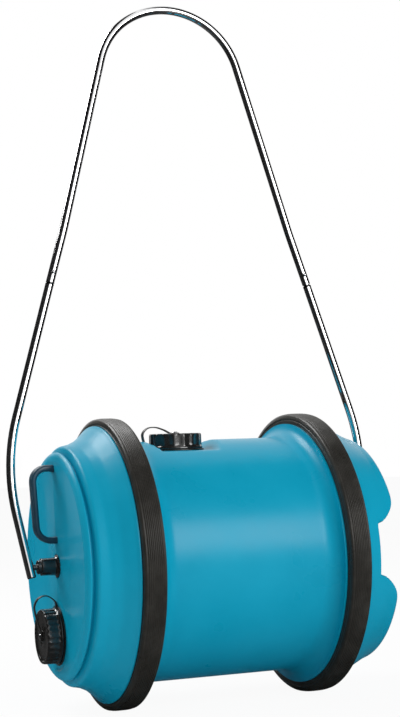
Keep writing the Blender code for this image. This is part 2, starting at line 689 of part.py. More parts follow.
def make_strap(name, frame, knots):
    # A retaining strap: a collar round the neck, a band over the cap and an eye under the stud.
    collar = turned(name, [(COLLAR_RADIUS, STRAP_THICKNESS + CLEARANCE), (COLLAR_RADIUS, CLEARANCE),
                           (NECK_RADIUS + CLEARANCE, CLEARANCE),
                           (NECK_RADIUS + CLEARANCE, STRAP_THICKNESS + CLEARANCE)], SMALL_STEPS, closed=True)
    collar.matrix_world = frame
    middle = STRAP_THICKNESS / 2
    start = (-COLLAR_RADIUS + 0.002, CLEARANCE + middle)
    end = (-EYE_RADIUS + 0.002, EYE_SEAT + middle)
    band = ribbon(f"{name}_band", smooth_path([start] + knots + [end]), STRAP_WIDTH, STRAP_THICKNESS)
    band.matrix_world = frame @ ONTO_XZ
    eye = turned(f"{name}_eye", [(EYE_RADIUS, EYE_SEAT + STRAP_THICKNESS), (EYE_RADIUS, EYE_SEAT),
                                 (STUD_RADIUS + CLEARANCE, EYE_SEAT),
                                 (STUD_RADIUS + CLEARANCE, EYE_SEAT + STRAP_THICKNESS)], 14,
                 closed=True, cut=True)
    eye.matrix_world = frame
    join(collar, band, eye)
    clear_hole = rod_cutter(f"{name}_stud_hole", STUD_RADIUS + CLEARANCE, 0.01, (0, 0, 0), None, 20)
    clear_hole.matrix_world = frame @ Matrix.Translation((0, 0, EYE_SEAT - 0.004))
    cut(collar, clear_hole)
    return finish(collar, BLACK, 0.3)


def make_plug(name, side, seat, turn):
    # A pivot plug: shank in its socket, flange on the end, stepped body, ring and the nib for the tube.
    flange = CLEARANCE
    body = flange + PLUG_FLANGE
    ring = body + PLUG_BODY
    nib = ring + PLUG_RING
    tip = PLUG_REACH
    plug = turned(name, [(0, tip), (NIB_RADIUS - 0.0008, tip), (NIB_RADIUS, tip - 0.0008), (NIB_RADIUS, nib),
                         (PLUG_RING_RADIUS - 0.0008, nib), (PLUG_RING_RADIUS, nib - 0.0008),
                         (PLUG_RING_RADIUS, ring), (PLUG_BODY_RADIUS - 0.001, ring),
                         (PLUG_BODY_RADIUS, ring - 0.001), (PLUG_BODY_RADIUS + 0.0004, body + 0.003),
                         (PLUG_FLANGE_RADIUS - 0.002, body + 0.0008), (PLUG_FLANGE_RADIUS, body - 0.0006),
                         (PLUG_FLANGE_RADIUS, flange), (PLUG_SHANK_RADIUS, flange),
                         (PLUG_SHANK_RADIUS, -PLUG_SHANK), (0, -PLUG_SHANK)], SMALL_STEPS)
    place(plug, (side * seat, 0, 0), turn)
    return finish(plug, BLACK, 0.25)


def handle_frame():
    # The handle's plane: its origin on the pivots' axis, leaning back from upright.
    return Matrix.Translation((0, 0, AXIS_Z)) @ Matrix.Rotation(-HANDLE_LEAN, 4, "X")


def corner(out_and_up):
    # A corner of the handle's half outline, in its plane.
    out, up = out_and_up
    return Vector((PIVOT_X + out, up))


def joint_line():
    # The direction of both tubes at the joint, in the handle's plane.
    return (corner(JOINT) - corner(LEG_KNEE)).normalized()


def leg_foot():
    # The lower end of a leg's centre line, and the direction in which the tube runs down to it.
    pivot = corner((0, 0))
    down = (pivot - corner(LEG_KNEE)).normalized()
    return pivot + down * LEG_BELOW_PIVOT, down


def crown_corner():
    # Where the lines of both bow tubes would meet, given that they touch the crown's arc.
    bend = corner(BOW_BEND)
    reach = Vector((0, BOW_TOP - BOW_CROWN_RADIUS)) - bend
    line = Matrix.Rotation(-math.asin(BOW_CROWN_RADIUS / reach.length), 2) @ reach
    return bend - line * (bend.x / line.x)


def along_joint(side, distance):
    # A frame on the joint's line: +Z along the tube upwards, +Y square to the handle's plane.
    line = joint_line()
    point = corner(JOINT) + line * distance
    tilt = math.atan2(line.x, line.y)
    return (Matrix.Translation((side * point.x, 0, point.y))
            @ Matrix.Rotation(side * tilt, 4, "Y"))


def make_leg(name, side, pivot):
    # A leg: bent tube with an open lower end, a hole for the nib and a swaged spigot at the top.
    foot, low = leg_foot()
    line = bent_line(foot, [(corner(LEG_KNEE), LEG_KNEE_BEND)], corner(JOINT))
    leg = tube(name, [(side * x, 0, z) for x, z in line], TUBE_RADIUS)
    leg.matrix_world = pivot
    spigot = cutter(f"{name}_spigot", rod_mesh(name, TUBE_BORE - CLEARANCE, SPIGOT_LENGTH + 0.004))
    spigot.matrix_world = pivot @ along_joint(side, -0.004)
    join(leg, spigot)
    spigot_bore = cutter(f"{name}_spigot_bore", rod_mesh(name, SPIGOT_BORE, SPIGOT_LENGTH + 0.01))
    spigot_bore.matrix_world = pivot @ along_joint(side, JOINT_GAP + 0.002)
    button_hole = cutter(f"{name}_button_hole", rod_mesh(name, BUTTON_RADIUS + CLEARANCE, 0.01, 20))
    button_hole.matrix_world = pivot @ along_joint(side, BUTTON_HEIGHT) @ ONTO_XZ
    tilt = math.atan2(side * low.x, low.y)
    end_bore = cutter(f"{name}_end_bore", rod_mesh(name, TUBE_BORE, LEG_BELOW_PIVOT + 0.018 + 0.005))
    end_bore.matrix_world = (pivot @ Matrix.Translation((side * foot.x, 0, foot.y))
                             @ Matrix.Rotation(tilt + math.pi, 4, "Y") @ Matrix.Translation((0, 0, -0.005)))
    nib_hole = cutter(f"{name}_nib_hole", rod_mesh(name, NIB_RADIUS + NIB_HOLE_CLEARANCE, 0.012, 20))
    nib_hole.matrix_world = pivot @ Matrix.Translation((side * PIVOT_X, 0, 0)) @ (
        FACING_MINUS_X if side > 0 else FACING_X)
    cut(leg, spigot_bore, button_hole, end_bore, nib_hole)
    return finish(leg, STEEL, 0.12, 1.0)


def make_end_plug(name, side, pivot):
    # The black plug that closes a leg's lower end.
    foot, low = leg_foot()
    head = -CLEARANCE - END_PLUG_HEAD
    plug = turned(name, [(0, END_PLUG_LENGTH), (TUBE_BORE - CLEARANCE, END_PLUG_LENGTH),
                         (TUBE_BORE - CLEARANCE, -CLEARANCE), (TUBE_RADIUS, -CLEARANCE),
                         (TUBE_RADIUS, head + 0.0006), (TUBE_RADIUS - 0.0008, head), (0, head)], 20)
    plug.matrix_world = (pivot @ Matrix.Translation((side * foot.x, 0, foot.y))
                         @ Matrix.Rotation(math.atan2(side * low.x, low.y) + math.pi, 4, "Y"))
    return finish(plug, BLACK, 0.4)


def make_bow(pivot):
    # The bow: one bent tube from joint to joint, bored at both ends for the legs' spigots.
    start = corner(JOINT) + joint_line() * JOINT_GAP
    right, left = corner(BOW_BEND), corner(BOW_BEND)
    left.x *= -1
    bends = [(right, BOW_BEND_RADIUS), (crown_corner(), BOW_CROWN_RADIUS), (left, BOW_BEND_RADIUS)]
    line = bent_line(start, bends, (-start.x, start.y))
    bow = tube("handle_bow", [(x, 0, z) for x, z in line], TUBE_RADIUS)
    bow.matrix_world = pivot
    for side in (-1, 1):
        bore = cutter(f"bow_bore_{side}", rod_mesh("bow_bore", TUBE_BORE, SPIGOT_LENGTH + 0.006))
        bore.matrix_world = pivot @ along_joint(side, JOINT_GAP - 0.004)
        hole = cutter(f"bow_button_hole_{side}", rod_mesh("bow_hole", BUTTON_RADIUS + CLEARANCE, 0.02, 20))
        hole.matrix_world = pivot @ along_joint(side, BUTTON_HEIGHT) @ ONTO_XZ
        cut(bow, bore, hole)
    return finish(bow, STEEL, 0.12, 1.0)


def make_button(name, side, pivot):
    # A locking button: a domed pin through the spigot and the bow, pushed out by its leaf spring.
    top = TUBE_RADIUS + BUTTON_PROUD
    foot = SPRING_CREST + SPRING_THICKNESS / 2 + CLEARANCE
    button = turned(name, [(0, top), (BUTTON_RADIUS * 0.7, top - 0.0004), (BUTTON_RADIUS, top - 0.0015),
                           (BUTTON_RADIUS, foot), (0, foot)], 20)
    button.matrix_world = pivot @ along_joint(side, BUTTON_HEIGHT) @ ONTO_XZ
    return finish(button, SPRING_STEEL, 0.25, 1.0)


def make_button_spring(name, side, pivot):
    # The leaf spring inside the spigot: it bears on the tube's back and pushes the button out.
    back = -SPIGOT_BORE + SPRING_THICKNESS
    middle = (back + SPRING_CREST) / 2
    knots = [(-SPRING_LENGTH / 2, back), (-SPRING_LENGTH / 4, middle), (-BUTTON_RADIUS, SPRING_CREST),
             (BUTTON_RADIUS, SPRING_CREST), (SPRING_LENGTH / 4, middle), (SPRING_LENGTH / 2, back)]
    half = SPRING_THICKNESS / 2
    outline = [(x, y + half) for x, y in knots] + [(x, y - half) for x, y in reversed(knots)]
    spring = plate(name, [outline], SPRING_WIDTH)
    spring.matrix_world = (pivot @ along_joint(side, BUTTON_HEIGHT)
                           @ Matrix(((0, 0, 1, 0), (0, -1, 0, 0), (1, 0, 0, 0), (0, 0, 0, 1))))
    return finish(spring, SPRING_STEEL, 0.3, 1.0)


def grip_limb_heights():
    return GRIP_BOTTOM + GRIP_LIMB / 2, GRIP_TOP - GRIP_LIMB / 2


def make_carry_handle():
    # The D-shaped carry handle above the pivot: a tapering loop whose feet follow the dished end.
    foot = CENTRE_X - 0.006
    outer = rounded_box(foot - GRIP_CORNER, GRIP_REACH, GRIP_BOTTOM, GRIP_TOP, GRIP_CORNER)
    hole = rounded_box(CENTRE_X - 0.001, GRIP_REACH - GRIP_BAR, GRIP_BOTTOM + GRIP_LIMB, GRIP_TOP - GRIP_LIMB,
                       GRIP_INNER_CORNER)
    outlines = [[(x - GRIP_TAPER * (GRIP_TOP - z), z) for x, z in outline] for outline in (outer, hole[::-1])]
    grip = plate("carry_handle", outlines, GRIP_THICKNESS, GRIP_EDGE)
    place(grip, (0, 0, 0), HALF_TURN @ ONTO_XZ)
    rim = 2 * END_LAND_RADIUS
    face = dish_samples(CLEARANCE) + [(rim, END_X + CLEARANCE), (rim, 0), (0, 0)]
    end_space = turned("end_space", face, STEPS, cut=True)
    place(end_space, (0, 0, 0), FACING_MINUS_X)
    cut(grip, end_space, end_ridge("ridge_space", CLEARANCE))
    for height in grip_limb_heights():
        tang = rod_cutter(f"tang_{height:.3f}", TANG_RADIUS, TANG_LENGTH + RIDGE_HEIGHT + WALL,
                          (-dish(height) + TANG_LENGTH, 0, height), FACING_MINUS_X, 20)
        join(grip, tang)
    return finish(grip, NAVY, 0.35)


clear_scene()
PARTS = new_collection("rolling_water_container")
CUTTERS = new_collection("cutters")

make_barrel()
make_tyre("left_tyre", -1)
make_tyre("right_tyre", 1)

FRAMES = neck_frames()
make_cap("filler_cap", FRAMES["filler"], FILLER_LOBES, FILLER_LOBE_DEPTH, 3)
make_cap("outlet_cap", FRAMES["outlet"], OUTLET_RIBS, OUTLET_RIB_DEPTH, 2)
FILLER_STRAP_KNOTS = [(-0.0479, 0.0115), (-0.0500, 0.0245), (-0.0425, 0.0328), (-0.0304, 0.0340),
                      (-0.0180, 0.0302)]
OUTLET_STRAP_KNOTS = [(-0.0485, 0.0040), (-0.0562, 0.0155), (-0.0535, 0.0270), (-0.0434, 0.0330),
                      (-0.0335, 0.0323), (-0.0175, 0.0283)]
for opening, knots in (("filler", FILLER_STRAP_KNOTS), ("outlet", OUTLET_STRAP_KNOTS)):
    make_seal(f"{opening}_seal", FRAMES[opening])
    make_stud(f"{opening}_stud", FRAMES[opening])
    make_strap(f"{opening}_strap", FRAMES[opening], knots)

for plug_name, (side, seat, turn) in zip(("left_pivot_plug", "right_pivot_plug"), seats()):
    make_plug(plug_name, side, seat, turn)

PIVOT = handle_frame()
make_leg("handle_left_leg", -1, PIVOT)
make_leg("handle_right_leg", 1, PIVOT)
make_bow(PIVOT)
for hand, side in (("left", -1), ("right", 1)):
    make_end_plug(f"{hand}_leg_end_plug", side, PIVOT)
    make_button(f"{hand}_snap_button", side, PIVOT)
    make_button_spring(f"{hand}_button_spring", side, PIVOT)

make_carry_handle()
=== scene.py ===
import math

import bmesh
import bpy
import numpy as np
from mathutils import Matrix, Vector


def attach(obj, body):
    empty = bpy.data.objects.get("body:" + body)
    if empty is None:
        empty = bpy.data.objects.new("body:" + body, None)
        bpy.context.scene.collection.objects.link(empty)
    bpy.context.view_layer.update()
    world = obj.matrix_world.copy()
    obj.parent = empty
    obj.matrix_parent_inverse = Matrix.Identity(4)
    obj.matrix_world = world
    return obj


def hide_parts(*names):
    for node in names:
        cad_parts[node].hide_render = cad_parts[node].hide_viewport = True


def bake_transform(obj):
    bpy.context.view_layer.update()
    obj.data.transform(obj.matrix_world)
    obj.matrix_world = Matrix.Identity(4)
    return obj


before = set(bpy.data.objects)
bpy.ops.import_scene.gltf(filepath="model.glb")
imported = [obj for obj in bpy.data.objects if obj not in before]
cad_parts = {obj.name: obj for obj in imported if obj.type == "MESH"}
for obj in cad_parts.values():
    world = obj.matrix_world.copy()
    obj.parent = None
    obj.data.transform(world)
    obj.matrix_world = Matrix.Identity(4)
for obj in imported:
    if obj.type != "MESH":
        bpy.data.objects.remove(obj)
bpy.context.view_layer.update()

# The viewpoint: a long lens from the left front, a little above hub height and looking slightly up,
# as fitted to the photograph's tyres, handle and caps. The focal length is the one for the picture's
# width, and the sensor covers the picture's longer side.
view_azimuth = math.radians(21.24)
view_elevation = math.radians(-2.79)
view_roll = math.radians(-1.70)
view_distance = 2.1582
view_target = Vector((0.0117, 0.0, 0.4943))
focal_length, picture_width, picture_height = 132.46, 400, 717
back = Vector((-math.sin(view_azimuth) * math.cos(view_elevation),
               -math.cos(view_azimuth) * math.cos(view_elevation), math.sin(view_elevation)))
level = (-back).cross(Vector((0, 0, 1))).normalized()
upright = level.cross(-back)
across = math.cos(view_roll) * level + math.sin(view_roll) * upright
above = -math.sin(view_roll) * level + math.cos(view_roll) * upright
lens = bpy.data.cameras.new("camera")
lens.lens = focal_length * picture_width / picture_height
lens.sensor_fit = "AUTO"
lens.sensor_width = 36.0
lens.clip_end = 50.0
camera = bpy.data.objects.new("camera", lens)
bpy.context.scene.collection.objects.link(camera)
camera.matrix_world = (Matrix.Translation(view_target + back * view_distance)
                       @ Matrix((across, above, back)).transposed().to_4x4())
bpy.context.scene.camera = camera
bpy.context.scene.view_settings.view_transform = "Standard"


# The studio: a white seamless floor, a large softbox high behind the outlet end, a broad one in front
# and a smaller one behind on the left. Dark cards stand round the set and cover the floor, where only
# reflections see them, so that the bright tubes have dark edges.
def link_in(obj):
    bpy.context.scene.collection.objects.link(obj)
    return obj


def softbox(name, place, aim, size, power):
    lamp = bpy.data.lights.new(name, "AREA")
    lamp.shape = "RECTANGLE"
    lamp.size, lamp.size_y = size
    lamp.energy = power
    obj = link_in(bpy.data.objects.new(name, lamp))
    obj.location = place
    obj.rotation_euler = (Vector(aim) - Vector(place)).to_track_quat("-Z", "Y").to_euler()
    obj.visible_camera = False
    return obj


softbox("key_softbox", (-0.85, 1.15, 1.75), (-0.1, 0.0, 0.25), (0.9, 0.9), 27.0)
softbox("front_softbox", (0.75, -2.3, 1.2), (0.0, 0.0, 0.25), (1.3, 1.2), 36.0)
side_softbox = softbox("side_softbox", (-1.7, 1.0, 1.0), (-0.2, 0.0, 0.2), (0.8, 1.2), 6.0)
side_softbox.visible_glossy = False


def seen_rays(tree):
    # 1 for a ray that the eye sees the background with: straight, mirrored or through glass.
    rays = tree.nodes.new("ShaderNodeLightPath")
    share = rays.outputs["Is Camera Ray"]
    for kind in ("Is Glossy Ray", "Is Transmission Ray"):
        more = tree.nodes.new("ShaderNodeMath")
        more.operation = "MAXIMUM"
        tree.links.new(share, more.inputs[0])
        tree.links.new(rays.outputs[kind], more.inputs[1])
        share = more.outputs[0]
    return share


ambient_strength, floor_brightness = 0.38, 0.94
floor_radius, floor_drop = 9.0, 0.0002
world = bpy.data.worlds.new("pale_surround")
bpy.context.scene.world = world
world.use_nodes = True
tree = world.node_tree
tree.nodes.clear()
ambient = tree.nodes.new("ShaderNodeBackground")
ambient.inputs["Color"].default_value = (0.95, 0.97, 1.0, 1)
ambient.inputs["Strength"].default_value = ambient_strength
white = tree.nodes.new("ShaderNodeBackground")
white.inputs["Color"].default_value = (1, 1, 1, 1)
choose = tree.nodes.new("ShaderNodeMixShader")
output = tree.nodes.new("ShaderNodeOutputWorld")
tree.links.new(seen_rays(tree), choose.inputs["Fac"])
tree.links.new(ambient.outputs[0], choose.inputs[1])
tree.links.new(white.outputs[0], choose.inputs[2])
tree.links.new(choose.outputs[0], output.inputs["Surface"])

floor_mesh = bpy.data.meshes.new("studio_floor")
shape = bmesh.new()
bmesh.ops.create_circle(shape, cap_ends=True, segments=96, radius=floor_radius)
shape.to_mesh(floor_mesh)
shape.free()
studio_floor = link_in(bpy.data.objects.new("studio_floor", floor_mesh))
studio_floor.location.z = -floor_drop
paper = bpy.data.materials.new("studio_paper")
paper.use_nodes = True
tree = paper.node_tree
sheet = tree.nodes["Principled BSDF"]
sheet.inputs["Base Color"].default_value = (0.82, 0.82, 0.82, 1)
sheet.inputs["Roughness"].default_value = 0.9
sheet.inputs["Specular IOR Level"].default_value = 0.1
glow = tree.nodes.new("ShaderNodeEmission")
glow.inputs["Color"].default_value = (1, 1, 1, 1)
seen = tree.nodes.new("ShaderNodeMath")
seen.operation = "MULTIPLY"
seen.inputs[1].default_value = floor_brightness
choose = tree.nodes.new("ShaderNodeMixShader")
tree.links.new(seen_rays(tree), seen.inputs[0])
tree.links.new(seen.outputs[0], choose.inputs["Fac"])
tree.links.new(sheet.outputs[0], choose.inputs[1])
tree.links.new(glow.outputs[0], choose.inputs[2])
tree.links.new(choose.outputs[0], tree.nodes["Material Output"].inputs["Surface"])
floor_mesh.materials.append(paper)

# The cards: two curved walls, each from a start to an end angle, and a ring of quads over the floor.
card_reach, card_hole, card_height = 3.6, 0.0002, 0.0005
card_spans, card_steps, card_rises = ((-62, 32), (100, 250)), 12, (0, 22, 45, 67, 88)
ring_steps = 48
ring_turn = 360 / ring_steps
cards = bpy.data.meshes.new("dark_cards")
corners, panels = [], []
for start, end in card_spans:
    for k in range(card_steps):
        for turn in (start + (end - start) * k / card_steps, start + (end - start) * (k + 1) / card_steps):
            for rise in card_rises:
                level_out = card_reach * math.cos(math.radians(rise))
                corners.append((level_out * math.cos(math.radians(turn)),
                                level_out * math.sin(math.radians(turn)),
                                card_reach * math.sin(math.radians(rise))))
        first = len(corners) - 10
        panels += [(first + r, first + 5 + r, first + 6 + r, first + 1 + r) for r in range(4)]
for k in range(ring_steps):
    for turn in (math.radians(ring_turn * k), math.radians(ring_turn * k + ring_turn)):
        corners += [(reach * math.cos(turn), reach * math.sin(turn), card_height)
                    for reach in (card_hole, card_reach)]
    panels.append(tuple(len(corners) - 4 + r for r in (0, 1, 3, 2)))
cards.from_pydata(corners, [], panels)
dark_cards = link_in(bpy.data.objects.new("dark_cards", cards))
black_card = bpy.data.materials.new("black_card")
black_card.use_nodes = True
black_card.node_tree.nodes["Principled BSDF"].inputs["Base Color"].default_value = (0.02, 0.02, 0.02, 1)
cards.materials.append(black_card)
dark_cards.visible_camera = dark_cards.visible_diffuse = dark_cards.visible_shadow = False


# The barrel: one blow-moulded polyethylene shell, a drum with a coved flange inboard of each tyre and a
# conical shoulder outboard. The outlet end is dished each side of an upright ridge, the base end has a
# trough cut across it, and the screw necks stand on a saddle pressed in the drum and on a round pad.
middle_x, axis_height = 0.0132, 0.205
wall, profile_gap = 0.003, 0.003
drum_radius, drum_flat, drum_top = 0.1703, 0.109, 0.10
seat_radius = 0.172
seat_inner, seat_outer = 0.1327, 0.1653
cove_rise, cove_run, cove_foot = 0.0197, 0.023, 0.026
bulge_face, bulge_middle, bulge_seat = 0.1665, 0.1774, 0.1909
bulge_outer, bulge_width = 0.2202, 0.0497
end_land = 0.1475
end_centre, end_face, base_face, base_seat = 0.2223, 0.2296, 0.2316, 0.1959
pad_x, pad_radius, pad_height = 0.2265, 0.0465, -0.0965
saddle_height, saddle_left, saddle_right, saddle_middle = 0.1562, -0.0862, -0.0010, -0.0436
saddle_left_slope, saddle_right_slope, saddle_block = 1.62, 0.94, (0.12, 0.2, 0.04)
trough_depth, trough_turn = 0.0416, math.radians(3.7)
trough_edge, lip_width, lip_fullness = 0.0800, 0.0447, 1.7
pedestal_reach = 0.034
socket_radius, socket_depth, socket_wall_radius, socket_wall_depth = 0.0103, 0.0236, 0.0142, 0.0275
filler_x, neck_radius, neck_bore, neck_height = -0.0440, 0.0287, 0.0245, 0.0170
neck_foot, neck_sunk = 0.0010, 0.0045
ridge_height, ridge_reach = 0.0040, 0.060
ridge_stations = ((-0.070, 0.6), (-0.017, 1.0), (0.036, 1.0), (0.089, 0.8), (0.142, 0.1))


def rounded(corners, turn_step=math.radians(11)):
    # A line of (radius, x, fillet) corners with each fillet drawn as an arc.
    line = []
    for i, (radius, x, fillet) in enumerate(corners):
        here = Vector((radius, x))
        if not fillet or i in (0, len(corners) - 1):
            line.append(here)
            continue
        come = (here - Vector(corners[i - 1][:2])).normalized()
        leave = (Vector(corners[i + 1][:2]) - here).normalized()
        turn = come.angle(leave)
        centre = here + (leave - come).normalized() * fillet / math.cos(turn / 2)
        first = here - come * fillet * math.tan(turn / 2)
        count = max(2, math.ceil(turn / turn_step))
        sign = math.copysign(1, come.cross(leave))
        line += [centre + Matrix.Rotation(sign * turn * k / count, 2) @ (first - centre)
                 for k in range(count + 1)]
    return [(point[0], point[1]) for point in line]


def dense(line, gap):
    # The same line with extra points wherever two lie further apart than the gap.
    rows = [line[0]]
    for a, b in zip(line, line[1:]):
        count = max(1, math.ceil(math.hypot(b[0] - a[0], b[1] - a[1]) / gap))
        rows += [(a[0] + (b[0] - a[0]) * k / count, a[1] + (b[1] - a[1]) * k / count)
                 for k in range(1, count + 1)]
    return rows


def turned_mesh(name, rows, steps, wave=None, closed=False, pole_size=1e-7):
    # Rows of (radius, height) swept round Z. A row at radius 0 is one point; wave(angle, row) adds
    # to the radius, for scallops and ribs.
    angles = np.arange(steps) * 2 * math.pi / steps
    points, starts = [], []
    for i, (radius, height) in enumerate(rows):
        starts.append(len(points))
        if radius < pole_size:
            points.append((0.0, 0.0, height))
            continue
        extra = wave(angles, i) if wave else np.zeros(steps)
        reach = radius + extra
        points += list(zip(reach * np.cos(angles), reach * np.sin(angles), np.full(steps, height)))
    faces = []
    pairs = list(zip(range(len(rows)), range(1, len(rows))))
    if closed:
        pairs.append((len(rows) - 1, 0))
    for i, j in pairs:
        a, b = starts[i], starts[j]
        one_a, one_b = rows[i][0] < pole_size, rows[j][0] < pole_size
        for k in range(steps):
            n = (k + 1) % steps
            if one_a and not one_b:
                faces.append((a, b + k, b + n))
            elif one_b and not one_a:
                faces.append((a + k, b, a + n))
            elif not one_a and not one_b:
                faces.append((a + k, b + k, b + n, a + n))
    mesh = bpy.data.meshes.new(name)
    mesh.from_pydata([tuple(map(float, p)) for p in points], [], faces)
    outward(mesh)
    return mesh


def outward(mesh):
    shape = bmesh.new()
    shape.from_mesh(mesh)
    bmesh.ops.recalc_face_normals(shape, faces=shape.faces)
    shape.to_mesh(mesh)
    shape.free()


def piece(name, mesh, matrix=None):
    # A finished piece whose place is in its mesh, with its object at the origin.
    if matrix is not None:
        mesh.transform(matrix)
        if matrix.to_3x3().determinant() < 0:
            mesh.flip_normals()
    return link_in(bpy.data.objects.new(name, mesh))


def bake(obj):
    # The modified shape as a plain mesh; what it was made with goes.
    bpy.context.view_layer.update()
    mesh = bpy.data.meshes.new_from_object(obj.evaluated_get(bpy.context.evaluated_depsgraph_get()))
    obj.modifiers.clear()
    mesh.name = obj.name
    obj.data = mesh
    return obj


def fuse(obj, others, operation):
    # Boolean steps one after the other, with the tools deleted afterwards.
    for other in others:
        step = obj.modifiers.new(other.name, "BOOLEAN")
        step.operation, step.object, step.solver = operation, other, "EXACT"
        step.use_hole_tolerant = True
    bake(obj)
    for other in others:
        bpy.data.objects.remove(other, do_unlink=True)
    return obj


def smooth(obj, sharp_angle=32):
    obj.data.shade_smooth()
    obj.data.set_sharp_from_angle(angle=math.radians(sharp_angle))
    return obj


def coat(obj, material):
    obj.data.materials.clear()
    obj.data.materials.append(material)


def lower(a, b, blend):
    # The smaller of two, with a rounded crossover.
    share = np.clip(0.5 + 0.5 * (b - a) / blend, 0, 1)
    return b + (a - b) * share - blend * share * (1 - share)


def upper(a, b, blend):
    return -lower(-a, -b, blend)


def eased(value):
    value = np.clip(value, 0, 1)
    return value * value * (3 - 2 * value)


def end_dish(radius):
    return end_centre + (end_face - end_centre) * np.minimum(1, radius / end_land) ** 2


facing_x = Matrix.Rotation(math.radians(90), 4, "Y")
facing_minus_x = Matrix.Rotation(math.radians(-90), 4, "Y")
half_turn = Matrix.Rotation(math.pi, 4, "Z")
barrel_place = Matrix.Translation((middle_x, 0, axis_height))
to_axis = barrel_place @ facing_x
filler_frame = barrel_place @ Matrix.Translation((filler_x, 0, saddle_height))
outlet_frame = barrel_place @ Matrix.Translation((-pad_x, 0, pad_height)) @ facing_minus_x @ half_turn

shoulder = [(0.1770, 0.1862, 0.030), (0.1909, 0.1705, 0.004), (0.1944, 0.1675, 0.0012),
            (0.1944, seat_outer, 0.0005), (seat_radius, seat_outer, 0), (seat_radius, seat_inner, 0),
            (0.1900, seat_inner, 0.0008)]
cove = [(drum_radius + cove_rise * (1 - math.cos(a)), seat_inner - cove_foot + cove_run * math.sin(a))
        for a in (math.radians(90 - 7.5 * i) for i in range(13))]
bulge = [((1 - t) ** 2 * bulge_face + 2 * t * (1 - t) * bulge_middle + t * t * bulge_seat,
          bulge_outer - bulge_width * t, 0)
         for t in (0.1, 0.2, 0.3, 0.4, 0.5, 0.6, 0.7, 0.8, 0.9)]
base_half = dense(rounded([(0, base_face, 0), (0.1632, base_face, 0.0100)] + bulge + shoulder[1:]),
                  profile_gap)
outlet_half = dense([(r, float(end_dish(r))) for r in np.arange(0, end_land, profile_gap)], profile_gap)
outlet_half += dense(rounded([(end_land, end_face, 0), (0.1545, 0.2288, 0.010), (0.1590, 0.2240, 0.0035),
                              (0.1590, 0.2222, 0.0010), (0.1540, 0.2212, 0.0016), (0.1540, 0.2188, 0.0020),
                              (0.1670, 0.2158, 0.006), (0.1700, 0.2010, 0.020)] + shoulder), profile_gap)
near_hub = [(r, base_face) for r in np.arange(0.0, pedestal_reach, 0.0011)]
base_half = near_hub + [row for row in base_half if row[0] > pedestal_reach or row[1] < base_face - 1e-6]
rows = base_half + cove
rows += dense([(drum_radius, seat_inner - cove_foot), (drum_radius, cove_foot - seat_inner)],
              profile_gap)[1:-1]
rows += [(r, -x) for r, x in reversed(outlet_half + cove)]
shell = turned_mesh("barrel_shell", rows, 240)
spot = np.empty(len(shell.vertices) * 3)
shell.vertices.foreach_get("co", spot)
spot = spot.reshape(-1, 3)
along, side, height = spot[:, 2].copy(), spot[:, 1].copy(), -spot[:, 0].copy()
radius = np.hypot(side, height)

# The base end's trough, with its rounded lips and the pedestal in its middle.
from_middle = np.abs(height * math.cos(trough_turn) + side * math.sin(trough_turn))
lip = np.clip((trough_edge - from_middle) / lip_width, 0, 1)
trough_x = base_face - trough_depth * (1 - (1 - lip ** lip_fullness) ** (1 / lip_fullness))
trough_x = np.where(from_middle > trough_edge, trough_x + from_middle - trough_edge, trough_x)
in_trough = lower(along, trough_x, 0.0025)
pedestal_x = np.interp(radius, [0, 0.019, 0.0225, 0.2],
                       [base_seat, base_seat, base_face - trough_depth, -0.6])
in_trough = np.where(radius < pedestal_reach, upper(in_trough, pedestal_x, 0.0015), in_trough)
along = np.where(along > 0.180, in_trough, along)

# The outlet end's ridge, whose flanks fall away to the rim, and the flat pad under the outlet's neck.
outlet_end = (along < -0.2195) & (radius <= end_land + 0.001)
share = np.interp(height, [z for z, part in ridge_stations], [part for z, part in ridge_stations])
share *= eased((0.150 - height) / 0.012) * eased((height + 0.110) / 0.030)
crest = end_dish(np.abs(height)) + ridge_height * share
reach = np.minimum(ridge_reach, np.sqrt(np.maximum(1e-6, end_land ** 2 - height ** 2)))
flank_foot = end_dish(np.hypot(reach, height)) - 0.0006
flank = crest + (flank_foot - crest) * np.sqrt(side ** 2 + 0.0015 ** 2) / reach
face = np.where(share > 0, upper(end_dish(radius), flank, 0.0008), end_dish(radius))
face = np.where(radius < 0.0165, end_centre, face)
from_pad = np.hypot(side, height - pad_height)
face = pad_x + (face - pad_x) * eased((from_pad - pad_radius + 0.0005) / 0.0035)
along = np.where(outlet_end, -face, along)

# The saddle's flat floor and the slopes at its two ends.
on_drum = (np.abs(along) < drum_flat) & (height > drum_top)
saddle = saddle_height + np.maximum(0, along - saddle_right) * saddle_right_slope
saddle += np.maximum(0, saddle_left - along) * saddle_left_slope
height = np.where(on_drum, lower(height, saddle, 0.0016), height)

spot[:, 2], spot[:, 1], spot[:, 0] = along, side, -height
shell.vertices.foreach_set("co", spot.reshape(-1))
shell.update()
outward(shell)
barrel_shell = piece("barrel_shell", shell, to_axis)

